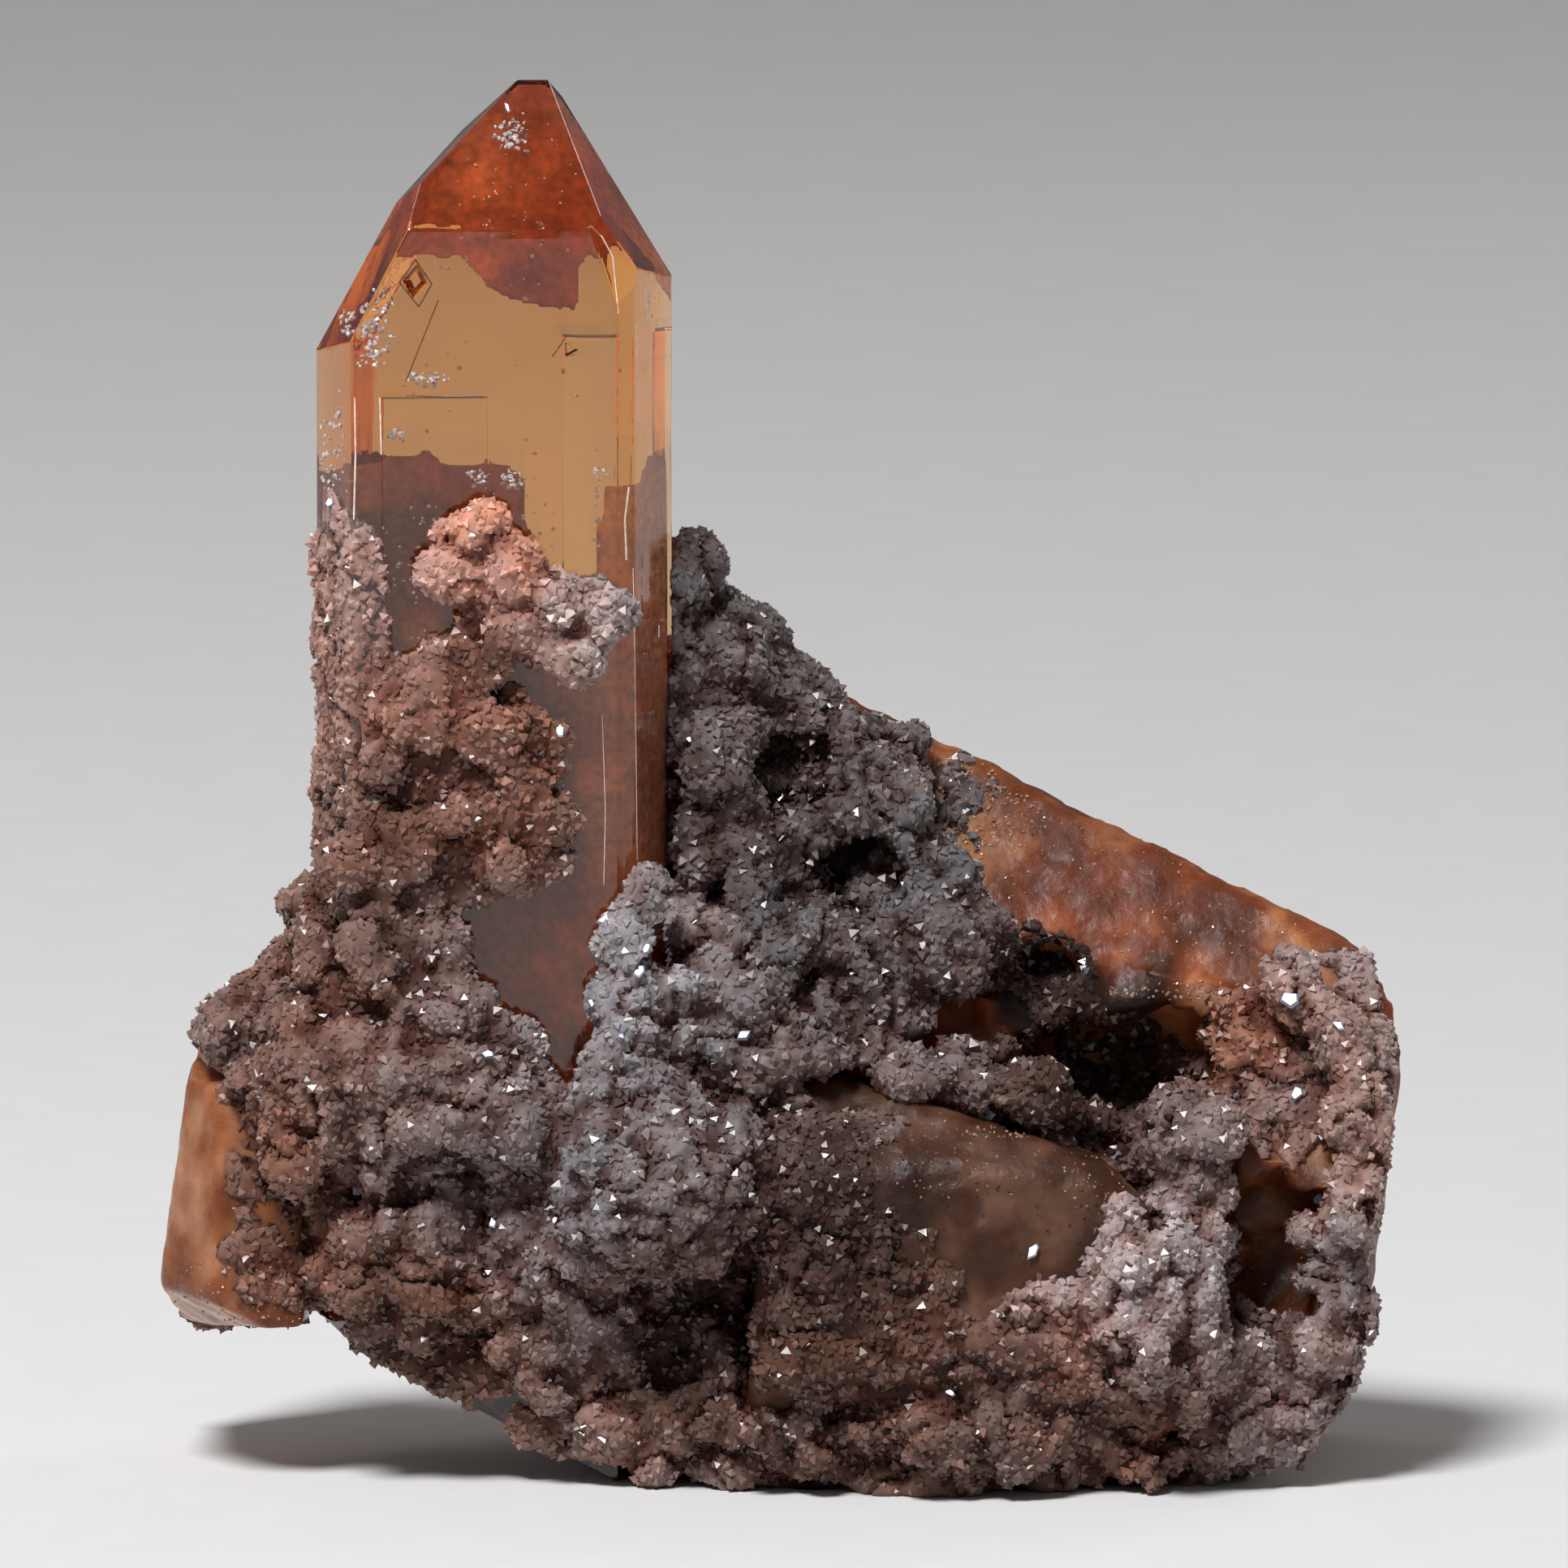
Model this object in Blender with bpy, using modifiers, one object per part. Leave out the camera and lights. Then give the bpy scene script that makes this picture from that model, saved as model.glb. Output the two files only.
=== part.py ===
"""A group of sherry topaz crystals overgrown by a crust of drusy quartz.

An upright crystal and a big tilted one stand in the crust, with a rounded slab in front and the corner of
a fourth crystal at the lower left. The group was cut off flat where it grew on rock, and rests on the cut.

The front faces -Y, across is +X to the right, and the cut lies at Z = 0. Lengths are in millimetres here
and become metres when a mesh is made.
"""

import math
import random

import bmesh
import bpy
from mathutils import Matrix, Vector

MM = 0.001

# Driving dimensions of the whole group.
HEIGHT = 43.1
SEAM = 0.3  # clear seam between the crust and each crystal
BLANK = 120.0  # side of the cube that a crystal is cut from

# The upright crystal: its axis, its prism and its point.
UPRIGHT_AXIS = Vector((-8.84, -1.67, 0))
UPRIGHT_SHOULDER = 38.8  # where the front face gives way to the point
POINT_RISE = 38.5  # how far the point's front and back face upwards
UPRIGHT_PRISM = {
    "front": (2, 3.38),
    "left": (-68, 5.36),
    "right bevel": (48, 4.99),
    "right": (72, 4.94),
}

# The tilted crystal: its ridge runs down to the right.
TILT = 23.9
TILTED_TURN = -14  # its right end comes forward
TILTED_FRONT = Vector((16.0, -4.9, 0))  # a point of its front face
TILTED_THICKNESS = 9.4
RIDGE_POINT = Vector((4.2, 4.0, 22.4))
RIDGE_BACK = RIDGE_POINT + Vector((0, 0.5, 0))
BACK_TOP_RISE = 34

# The crust.
LUMP_SEED = 4
CRUST_VOXEL = 0.45
CRUST_TRIANGLES = 8800


def facing(turn, rise=0.0):
    """Outward normal: turn in degrees from the front towards the right, rise in degrees above level."""
    turn, rise = math.radians(turn), math.radians(rise)
    level = math.cos(rise)
    return Vector((level * math.sin(turn), -level * math.cos(turn), math.sin(rise)))


def across_tilt(rise, back=False):
    """Normal of a face that runs along the tilted crystal's ridge, on its front or its back."""
    tilt, rise = math.radians(TILT), math.radians(rise)
    side = math.cos(rise) if back else -math.cos(rise)
    straight = Vector((math.sin(tilt) * math.sin(rise), side, math.cos(tilt) * math.sin(rise)))
    return Matrix.Rotation(math.radians(TILTED_TURN), 3, "Z") @ straight


def prism_faces(axis, pairs):
    """Faces of a prism, in parallel pairs at equal distances from its upright axis."""
    faces = []
    for turn, distance in pairs:
        for side in (turn, turn + 180):
            normal = facing(side)
            faces.append((normal, axis + normal * distance))
    return faces


def cut_crystal(faces, outset=0.0):
    """A blank cut by one plane for each crystal face, with every face moved out by the outset."""
    shape = bmesh.new()
    bmesh.ops.create_cube(shape, size=BLANK)
    for normal, point in faces:
        whole = shape.verts[:] + shape.edges[:] + shape.faces[:]
        cut = bmesh.ops.bisect_plane(
            shape,
            geom=whole,
            plane_co=point + normal * outset,
            plane_no=normal,
            clear_outer=True,
        )
        rim = [piece for piece in cut["geom_cut"] if isinstance(piece, bmesh.types.BMEdge)]
        bmesh.ops.edgenet_fill(shape, edges=rim)
    bmesh.ops.recalc_face_normals(shape, faces=shape.faces[:])
    return shape


def upright_faces():
    faces = prism_faces(UPRIGHT_AXIS, UPRIGHT_PRISM.values())
    front_turn, front_distance = UPRIGHT_PRISM["front"]
    shoulder = UPRIGHT_AXIS + Vector((0, 0, UPRIGHT_SHOULDER))
    for turn in (front_turn, front_turn + 180):
        faces.append((facing(turn, POINT_RISE), shoulder + facing(turn) * front_distance))
    left_corner = Vector((-13.19, -5.2, 35.4))
    tip_left = Vector((-8.46, -1.7, 42.7))
    right_shoulder = Vector((-3.69, -0.86, 37.4))
    bevel_foot = Vector((-5.05, -4.92, 36.4))
    broken_foot = Vector((-12.1, 0, 3.7))
    faces += [
        (facing(-74, 26.5), left_corner),
        (facing(-110, 28), Vector((-13.2, 0.9, 34.6))),
        (facing(-90, 45.3), tip_left),
        (facing(78, 30), right_shoulder),
        (facing(104, 31), right_shoulder),
        (facing(40, 11.3), bevel_foot),
        (facing(60, 88), Vector((-7.4, -1.7, HEIGHT))),
        (facing(-90, -62), broken_foot),
        (facing(0, -90), Vector((0, 0, 0))),
    ]
    return faces


def tilted_faces():
    ridge_bevel = 0.35
    ridge = across_tilt(90)
    right_corner = Vector((18.9, -2.4, 12.5))
    return [
        (across_tilt(40), RIDGE_POINT),
        (ridge, RIDGE_POINT - ridge * ridge_bevel),
        (across_tilt(BACK_TOP_RISE, back=True), RIDGE_BACK),
        (facing(TILTED_TURN + 180), TILTED_FRONT - facing(TILTED_TURN) * TILTED_THICKNESS),
        (facing(TILTED_TURN), TILTED_FRONT),
        (facing(72, 19), right_corner),
        (facing(80, -9), right_corner),
        (facing(118, 2), Vector((17.2, 3.0, 8))),
        (facing(86, -46), Vector((16.2, -3.0, 1.6))),
        (facing(-68), Vector((-2.4, -0.5, 0))),
        (facing(-96, 22), Vector((-5.6, 5, 20))),
        (facing(-128, -14), Vector((-4.5, 7.5, 9))),
        (facing(0, -90), Vector((0, 0, 0))),
    ]


def front_faces():
    top_left = Vector((3.2, -7.0, 12.2))
    top_right = Vector((9.2, -7.0, 10.4))
    return [
        (facing(4, 9), Vector((6, -8.3, 5))),
        (facing(6, 48), Vector((6, -7.5, 9.9))),
        (facing(90, 73), top_left),
        (facing(78, 50), top_right),
        (facing(84, 22), Vector((10.9, -7.0, 9.2))),
        (facing(88, 2), Vector((11.9, -7.0, 4))),
        (facing(180 + TILTED_TURN), Vector((11.5, -5.2, 0))),
        (facing(-88, 6), Vector((-1.0, -7, 4))),
        (facing(-55, 4), Vector((-0.4, -8.0, 4))),
        (facing(0, -42), Vector((6, -8.4, 3.6))),
        (facing(0, -90), Vector((0, 0, 0.6))),
    ]


def corner_faces():
    return [
        (facing(-58, 7), Vector((-18.0, -4.2, 8))),
        (facing(-98, 8), Vector((-18.9, -1.0, 6.6))),
        (facing(-140, 6), Vector((-17.6, 3.4, 8))),
        (facing(6, 8), Vector((-16.6, -5.1, 8))),
        (facing(-24, 68), Vector((-16.8, -2.0, 12.9))),
        (facing(170, 4), Vector((-16, 4.6, 8))),
        (facing(90), Vector((-14.7, 0, 0))),
        (facing(-60, -60), Vector((-18.6, -2.0, 5.2))),
        (facing(10, -82), Vector((-16.5, -3.0, 4.5))),
    ]


def upright_pits():
    """Etch pits on the front face: centre, turn in the face, corners, half-width, half-height, depth."""
    front = UPRIGHT_AXIS.y - UPRIGHT_PRISM["front"][1]
    return [
        (Vector((-11.2, front, 37.2)), 8, 4, 0.45, 0.70, 0.35),
        (Vector((-6.5, front, 35.1)), 30, 3, 0.50, 0.45, 0.30),
    ]


def upright_ledges():
    """Growth ledges: a point on the face, its normal, the length along the axis, the width and the depth."""
    front = facing(UPRIGHT_PRISM["front"][0])
    back = facing(UPRIGHT_PRISM["front"][0] + 180)
    reach = UPRIGHT_PRISM["front"][1]
    along = Vector((0, 0, 1))
    return [
        (UPRIGHT_AXIS + front * reach + Vector((-1.9, 0, 27.6)), front, along, 12.0, 3.2, 0.12),
        (UPRIGHT_AXIS + back * reach + Vector((4.6, 0, 20)), back, along, 30.0, 5.0, 0.35),
        (UPRIGHT_AXIS + back * reach + Vector((-5.4, 0, 16)), back, along, 26.0, 3.0, 0.25),
    ]


def tilted_ledges():
    """Growth ledges that run along the ridge of the tilted crystal."""
    along = Matrix.Rotation(math.radians(TILTED_TURN), 3, "Z") @ Vector(
        (math.cos(math.radians(TILT)), 0, -math.sin(math.radians(TILT)))
    )
    back_top = across_tilt(BACK_TOP_RISE, back=True)
    back = facing(TILTED_TURN + 180)
    down_back = along.cross(back_top).normalized()
    if down_back.z > 0:
        down_back = -down_back
    back_edge = TILTED_FRONT + back * TILTED_THICKNESS
    to_the_left = facing(TILTED_TURN - 90)
    back_middle = back_edge + to_the_left * 9.3 + Vector((0, 0, 5.4))
    return [
        (RIDGE_BACK + down_back * 5.2 + along * 1.0, back_top, along, 16.0, 6.0, 0.40),
        (RIDGE_BACK + down_back * 2.4 + along * 14.0, back_top, along, 10.0, 1.6, 0.30),
        (back_middle, back, along, 13.0, 5.0, 0.45),
    ]


def material(name, colour, roughness):
    made = bpy.data.materials.new(name)
    made.use_nodes = True
    surface = made.node_tree.nodes["Principled BSDF"]
    surface.inputs["Base Color"].default_value = (*colour, 1)
    surface.inputs["Roughness"].default_value = roughness
    surface.inputs["Metallic"].default_value = 0
    return made


def add_object(name, shape, collection, finish=None):
    """An object in metres from a shape in millimetres."""
    bmesh.ops.scale(shape, vec=(MM, MM, MM), verts=shape.verts[:])
    mesh = bpy.data.meshes.new(name)
    shape.to_mesh(mesh)
    shape.free()
    if finish:
        mesh.materials.append(finish)
    made = bpy.data.objects.new(name, mesh)
    collection.objects.link(made)
    return made


def add_cutter(name, shape, cutters):
    made = add_object(name, shape, cutters)
    made.hide_render = True
    made.display_type = "WIRE"
    return made


def lump(shape, centre, radii, fineness=2):
    """A rounded lump with the given half-lengths across, back and up."""
    place = Matrix.Translation(centre) @ Matrix.Diagonal((*radii, 1))
    bmesh.ops.create_icosphere(shape, subdivisions=fineness, radius=1, matrix=place)


def mound(shape, centre, radii, knobs, chance):
    """A big lump with small knobs grown out of its skin."""
    centre = Vector(centre)
    lump(shape, centre, radii)
    for _ in range(knobs):
        out = Vector([chance.gauss(0, 1) for _ in range(3)]).normalized()
        spot = centre + Vector([out[i] * radii[i] * 0.93 for i in range(3)])
        size = chance.uniform(0.55, 1.15)
        lump(shape, spot, (size, size, size * chance.uniform(0.8, 1.1)), fineness=1)


def ridge(shape, stops, radius, chance):
    """A knobby ridge along a line of stops."""
    for start, end in zip(stops, stops[1:]):
        start, end = Vector(start), Vector(end)
        steps = max(2, round((end - start).length / (0.7 * radius)))
        for step in range(steps + 1):
            spot = start.lerp(end, step / steps)
            jitter = Vector([chance.uniform(-0.25, 0.25) * radius for _ in range(3)])
            size = radius * chance.uniform(0.75, 1.15)
            lump(shape, spot + jitter, (size, size, size), fineness=1)


def coat(shape, centre, spread, thickness, count, chance):
    """A thin lobed coat on an upright face that looks forward, of flat lumps over an oval."""
    centre = Vector(centre)
    for _ in range(count):
        angle = chance.uniform(0, 2 * math.pi)
        reach = math.sqrt(chance.random()) * 0.8
        offset = Vector((math.cos(angle) * spread[0], 0, math.sin(angle) * spread[1])) * reach
        size = chance.uniform(0.6, 1.0)
        lump(shape, centre + offset, (size, thickness * chance.uniform(0.8, 1.3), size), fineness=1)


def ledge_cutter(point, normal, along, length, width, depth):
    """A block that takes a thin layer off part of a face."""
    height = 4.0
    across = normal.cross(along).normalized()
    turn = Matrix((along, across, normal)).transposed().to_4x4()
    place = Matrix.Translation(point + normal * (height / 2 - depth)) @ turn
    shape = bmesh.new()
    size = Matrix.Diagonal((length, width, height, 1))
    bmesh.ops.create_cube(shape, size=1, matrix=place @ size)
    return shape


def pit_cutter(centre, turn, corners, half_width, half_height, depth):
    """A sharp pit sunk into a face that looks forward."""
    outside = 0.4
    floor_share = 0.35
    shape = bmesh.new()
    bmesh.ops.create_cone(
        shape, cap_ends=True, segments=corners, radius1=1, radius2=floor_share, depth=depth + outside
    )
    into_face = Matrix.Rotation(math.radians(-90), 4, "X")
    spin = Matrix.Rotation(math.radians(turn), 4, "Y")
    stretch = Matrix.Diagonal((half_width, 1, half_height, 1))
    sink = Matrix.Translation(centre + Vector((0, (depth - outside) / 2, 0)))
    bmesh.ops.transform(shape, matrix=sink @ spin @ stretch @ into_face, verts=shape.verts[:])
    bmesh.ops.recalc_face_normals(shape, faces=shape.faces[:])
    return shape


def crust_lumps():
    """Everything that the druse is grown from, before the crystals and the cavities are taken out of it."""
    chance = random.Random(LUMP_SEED)
    shape = bmesh.new()
    mounds = [
        # The left shoulder and the filling round the foot of the upright crystal.
        ((-14.4, -1.6, 13.2), (3.3, 4.4, 3.2), 26),
        ((-13.7, -2.0, 16.2), (1.3, 3.2, 2.0), 8),
        ((-12.8, -4.6, 12.6), (3.8, 2.6, 3.6), 30),
        ((-11.2, -5.4, 15.6), (2.0, 1.4, 2.0), 6),
        ((-9.6, -5.6, 11.8), (3.0, 2.4, 3.0), 22),
        ((-11.2, -4.8, 6.8), (3.3, 2.2, 2.6), 24),
        ((-14.8, -1.0, 8.4), (1.6, 4.4, 4.2), 8),
        # The dome in the middle and what lies between it and the tilted crystal.
        ((-4.1, -6.4, 9.4), (3.6, 3.5, 3.3), 30),
        ((-6.6, -5.2, 6.0), (3.0, 2.2, 2.8), 18),
        ((-1.2, -3.8, 13.9), (2.6, 2.2, 2.8), 20),
        ((-2.6, -2.2, 7.0), (3.4, 3.6, 7.0), 0),
        # The honeycombed cover on the tilted crystal.
        ((-3.5, 1.0, 26.0), (1.2, 2.0, 2.2), 6),
        ((-1.9, 1.7, 24.4), (2.1, 2.3, 2.5), 14),
        ((0.6, 2.4, 22.5), (2.0, 2.1, 1.9), 12),
        ((2.8, 2.3, 21.2), (1.9, 1.9, 1.5), 8),
        ((-1.8, -0.4, 20.3), (2.1, 2.3, 3.6), 16),
        ((1.8, -0.3, 19.4), (3.0, 2.2, 3.2), 20),
        ((-1.5, -2.2, 16.2), (2.3, 2.3, 3.2), 14),
        ((2.2, -2.2, 15.6), (3.0, 2.2, 2.6), 18),
        ((4.6, -1.2, 16.6), (2.2, 1.9, 2.8), 14),
        # The lower edge, from the pink lump at the left to the right end.
        ((-7.4, -1.2, 1.9), (2.7, 3.4, 1.6), 14),
        ((-4.4, -3.4, 2.0), (3.2, 3.4, 2.2), 12),
        ((0.6, -4.6, 2.4), (5.6, 3.4, 2.6), 26),
        ((5.6, -5.2, 2.6), (5.2, 3.2, 2.8), 26),
        ((10.4, -4.8, 2.4), (3.4, 2.6, 2.4), 16),
        ((13.4, -4.6, 2.5), (3.5, 2.1, 2.2), 24),
        # The right end of the slab, the lump in the vug and the seam behind the slab.
        ((11.2, -6.6, 5.8), (2.5, 2.2, 2.7), 24),
        ((12.3, -4.2, 9.9), (2.1, 1.8, 1.7), 16),
        ((4.5, -3.4, 8.0), (6.0, 2.2, 4.2), 0),
        ((11.8, -4.2, 5.2), (2.2, 1.6, 4.6), 0),
        # The back of the group, low down.
        ((-9.4, 2.4, 7.2), (4.4, 2.0, 4.0), 22),
        ((-13.4, 2.2, 8.6), (2.2, 2.6, 4.6), 14),
        ((-5.2, 3.0, 10.6), (2.2, 2.4, 8.6), 22),
        ((-3.4, 2.6, 19.0), (1.4, 2.0, 6.0), 10),
    ]
    for centre, radii, knobs in mounds:
        mound(shape, centre, radii, knobs, chance)
    ridges = [
        (((-4.3, -5.2, 18.8), (-4.7, -5.8, 16.4), (-5.0, -6.4, 14.0), (-5.6, -6.9, 11.6)), 1.15),
        (((-0.6, -5.0, 13.6), (3.0, -4.6, 12.9), (6.0, -4.4, 11.7), (8.6, -4.3, 10.6)), 1.15),
        (((15.6, -1.6, 15.2), (17.4, -2.8, 13.4), (18.0, -4.0, 11.2), (17.5, -5.0, 8.4)), 1.0),
        (((17.4, -5.0, 8.2), (17.1, -5.2, 4.0)), 0.8),
        (((9.0, -3.8, 9.0), (12.0, -4.4, 8.6)), 1.1),
    ]
    for stops, radius in ridges:
        ridge(shape, stops, radius, chance)
    front = UPRIGHT_AXIS.y - UPRIGHT_PRISM["front"][1] - SEAM
    coats = [
        ((-9.5, front, 28.9), (1.2, 1.0), 0.45, 8),
        ((-8.0, front, 27.6), (1.7, 1.0), 0.50, 10),
        ((-6.5, front, 26.4), (1.4, 2.2), 0.55, 14),
        ((-8.8, front, 21.2), (2.2, 3.2), 0.60, 26),
        ((-11.6, front, 22.6), (1.2, 4.6), 0.50, 26),
        ((-12.0, front, 18.8), (1.4, 3.0), 0.80, 20),
        ((-9.6, front, 25.0), (1.2, 1.6), 0.45, 8),
    ]
    for centre, spread, thickness, count in coats:
        coat(shape, centre, spread, thickness, count, chance)
    return shape


def crust_cavities():
    """The dark hollows in the druse."""
    return [
        ((-10.2, -7.9, 9.6), (1.6, 2.0, 1.3)),
        ((-2.8, -8.4, 4.9), (2.6, 1.9, 1.2)),
        ((0.4, -1.0, 21.4), (1.6, 2.2, 1.3)),
        ((2.4, -2.0, 18.6), (1.3, 2.4, 1.3)),
        ((1.0, -4.6, 15.6), (1.0, 1.6, 0.7)),
        ((-2.2, -2.8, 18.4), (0.8, 1.6, 1.1)),
        ((-11.8, -6.2, 21.2), (0.8, 1.2, 1.8)),
        ((1.4, -8.2, 6.4), (1.7, 1.5, 1.2)),
    ]


def vug_hollows():
    """The etched hollow in the front of the tilted crystal."""
    return [
        ((10.6, -2.8, 12.0), (3.5, 4.2, 2.6)),
        ((8.2, -0.8, 15.2), (1.2, 1.9, 1.0)),
        ((15.1, -6.0, 7.2), (2.5, 3.6, 2.5)),
    ]


def subtract(target, cutter):
    cut = target.modifiers.new(cutter.name, "BOOLEAN")
    cut.operation = "DIFFERENCE"
    cut.solver = "EXACT"
    cut.object = cutter


def melt_together(target):
    skin = target.modifiers.new("skin", "REMESH")
    skin.mode = "VOXEL"
    skin.voxel_size = CRUST_VOXEL * MM


def baked(source, name, collection, finish):
    """A plain object from one whose modifiers are done, kept to its largest body."""
    bpy.context.view_layer.update()
    graph = bpy.context.evaluated_depsgraph_get()
    mesh = bpy.data.meshes.new_from_object(source.evaluated_get(graph))
    shape = bmesh.new()
    shape.from_mesh(mesh)
    bpy.data.meshes.remove(mesh)
    bpy.data.objects.remove(source)
    bmesh.ops.scale(shape, vec=(1 / MM, 1 / MM, 1 / MM), verts=shape.verts[:])
    drop_small_bodies(shape)
    return add_object(name, shape, collection, finish)


def drop_small_bodies(shape):
    """Deletes every loose body but the one with the most points."""
    unseen = set(shape.verts)
    bodies = []
    while unseen:
        body = set()
        queue = [unseen.pop()]
        while queue:
            point = queue.pop()
            body.add(point)
            for edge in point.link_edges:
                other = edge.other_vert(point)
                if other in unseen:
                    unseen.remove(other)
                    queue.append(other)
        bodies.append(body)
    largest = max(bodies, key=len)
    for body in bodies:
        if body is not largest:
            bmesh.ops.delete(shape, geom=list(body), context="VERTS")


def make_upright(cutters):
    made = add_object("upright_blank", cut_crystal(upright_faces()), cutters)
    for number, ledge in enumerate(upright_ledges()):
        subtract(made, add_cutter(f"upright_ledge_{number}", ledge_cutter(*ledge), cutters))
    for number, pit in enumerate(upright_pits()):
        subtract(made, add_cutter(f"upright_pit_{number}", pit_cutter(*pit), cutters))
    return made


def make_tilted(cutters, outset=0.0):
    """The tilted crystal, or with an outset the room that the crust leaves for it."""
    shape = cut_crystal(tilted_faces(), outset)
    made = add_object("tilted_blank", shape, cutters)
    if not outset:
        for number, ledge in enumerate(tilted_ledges()):
            subtract(made, add_cutter(f"tilted_ledge_{number}", ledge_cutter(*ledge), cutters))
    for number, (centre, radii) in enumerate(vug_hollows()):
        hollow = bmesh.new()
        lump(hollow, centre, [radius - outset for radius in radii], fineness=3)
        subtract(made, add_cutter(f"vug_{number}_{outset}", hollow, cutters))
    return made


def make_crust(room, cutters, group, finish):
    raw = add_object("crust_raw", crust_lumps(), cutters)
    melt_together(raw)
    for number, (centre, radii) in enumerate(crust_cavities()):
        cavity = bmesh.new()
        lump(cavity, centre, radii)
        subtract(raw, add_cutter(f"cavity_{number}", cavity, cutters))
    melt_together(raw)
    bpy.context.view_layer.update()
    graph = bpy.context.evaluated_depsgraph_get()
    triangles = sum(len(face.vertices) - 2 for face in raw.evaluated_get(graph).data.polygons)
    thin = raw.modifiers.new("thin", "DECIMATE")
    thin.ratio = min(1.0, CRUST_TRIANGLES / triangles)
    below = bmesh.new()
    bmesh.ops.create_cube(below, size=BLANK, matrix=Matrix.Translation((0, 0, -BLANK / 2)))
    add_cutter("below_the_cut", below, room)
    hollow = raw.modifiers.new("room for the crystals", "BOOLEAN")
    hollow.operation = "DIFFERENCE"
    hollow.solver = "EXACT"
    hollow.operand_type = "COLLECTION"
    hollow.collection = room
    druse = baked(raw, "quartz_druse", group, finish)
    druse.data.shade_smooth()
    return druse


def main():
    for leftover in list(bpy.data.objects):
        bpy.data.objects.remove(leftover)
    group = bpy.data.collections.new("topaz_group")
    cutters = bpy.data.collections.new("cutters")
    room = bpy.data.collections.new("room_for_crystals")
    for collection in (group, cutters, room):
        bpy.context.scene.collection.children.link(collection)
    for collection in (cutters, room):
        collection.hide_render = True

    golden = material("golden_topaz", (0.62, 0.30, 0.09), 0.08)
    amber = material("amber_topaz", (0.36, 0.15, 0.06), 0.15)
    brown = material("brown_topaz", (0.20, 0.09, 0.045), 0.2)
    orange = material("orange_topaz", (0.45, 0.19, 0.08), 0.15)
    sugary = material("sugary_quartz", (0.36, 0.29, 0.29), 0.4)

    plain = (
        ("front_topaz", front_faces(), brown),
        ("corner_topaz", corner_faces(), orange),
    )
    for name, faces, finish in plain:
        add_object(name, cut_crystal(faces), group, finish)
        add_cutter(f"{name}_room", cut_crystal(faces, SEAM), room)
    baked(make_upright(cutters), "upright_topaz", group, golden)
    add_cutter("upright_topaz_room", cut_crystal(upright_faces(), SEAM), room)
    baked(make_tilted(cutters), "tilted_topaz", group, amber)
    tilted_room = baked(make_tilted(cutters, SEAM), "tilted_topaz_room", room, None)
    tilted_room.hide_render = True
    tilted_room.display_type = "WIRE"
    make_crust(room, cutters, group, sugary)


main()
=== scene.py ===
"""The looks of a group of sherry topaz crystals overgrown by drusy quartz.

The solids of the frame give each crystal and the crust their place and their form. Here the crystals get
fine faces and clear material, and the crust gets its lumps and its grains. Shapes are worked out in
millimetres and become metres when a piece is made. Places marked as pixels are places in the photograph,
which is 1932 pixels wide and shows 40 pixels to the millimetre.
"""

import itertools
import math

import bmesh
import bpy
import numpy as np
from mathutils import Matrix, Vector
from mathutils.bvhtree import BVHTree


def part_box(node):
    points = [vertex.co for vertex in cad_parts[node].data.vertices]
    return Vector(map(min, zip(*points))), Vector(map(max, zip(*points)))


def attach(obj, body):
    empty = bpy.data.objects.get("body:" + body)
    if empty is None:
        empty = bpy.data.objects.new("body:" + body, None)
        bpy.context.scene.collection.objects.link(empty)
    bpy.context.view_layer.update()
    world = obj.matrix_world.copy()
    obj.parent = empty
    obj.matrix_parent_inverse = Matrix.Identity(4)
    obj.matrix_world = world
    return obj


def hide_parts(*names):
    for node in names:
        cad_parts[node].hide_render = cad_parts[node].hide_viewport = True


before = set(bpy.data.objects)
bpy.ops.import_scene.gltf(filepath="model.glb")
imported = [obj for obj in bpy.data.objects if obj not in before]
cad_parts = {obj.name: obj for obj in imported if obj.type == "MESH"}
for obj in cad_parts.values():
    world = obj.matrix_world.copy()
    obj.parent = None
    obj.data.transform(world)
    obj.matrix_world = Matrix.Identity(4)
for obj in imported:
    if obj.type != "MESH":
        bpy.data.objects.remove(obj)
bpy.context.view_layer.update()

MM = 0.001

# The camera. The photograph looks down a little, from far away for its size.
PHOTO_WIDTH = 1932
PIXELS_PER_MM = 40
ELEVATION = math.radians(8)
LENS = 600
SENSOR = 36
VIEW_CENTRE_X = 0.0625
VIEW_CENTRE_UP = 20.775
MIDDLE_DEPTH = -4.5  # the group's middle lies a little before the line of the floor's middle
FRAME_WIDTH = PHOTO_WIDTH / PIXELS_PER_MM
CAMERA_DISTANCE = LENS / SENSOR * FRAME_WIDTH
RIGHTWARD = np.array([1.0, 0.0, 0.0])
UPWARD = np.array([0.0, math.sin(ELEVATION), math.cos(ELEVATION)])
FORWARD = np.array([0.0, math.cos(ELEVATION), -math.sin(ELEVATION)])
VIEW_CENTRE = RIGHTWARD * VIEW_CENTRE_X + UPWARD * VIEW_CENTRE_UP + FORWARD * MIDDLE_DEPTH
CAMERA_PLACE = VIEW_CENTRE - FORWARD * CAMERA_DISTANCE

# The key light stands to the left of the camera and well above it.
KEY_TURN = math.radians(-28)
KEY_RISE = math.radians(58)
KEY_DIRECTION = np.array(
    [
        math.sin(KEY_TURN) * math.cos(KEY_RISE),
        -math.cos(KEY_TURN) * math.cos(KEY_RISE),
        math.sin(KEY_RISE),
    ]
)

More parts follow.
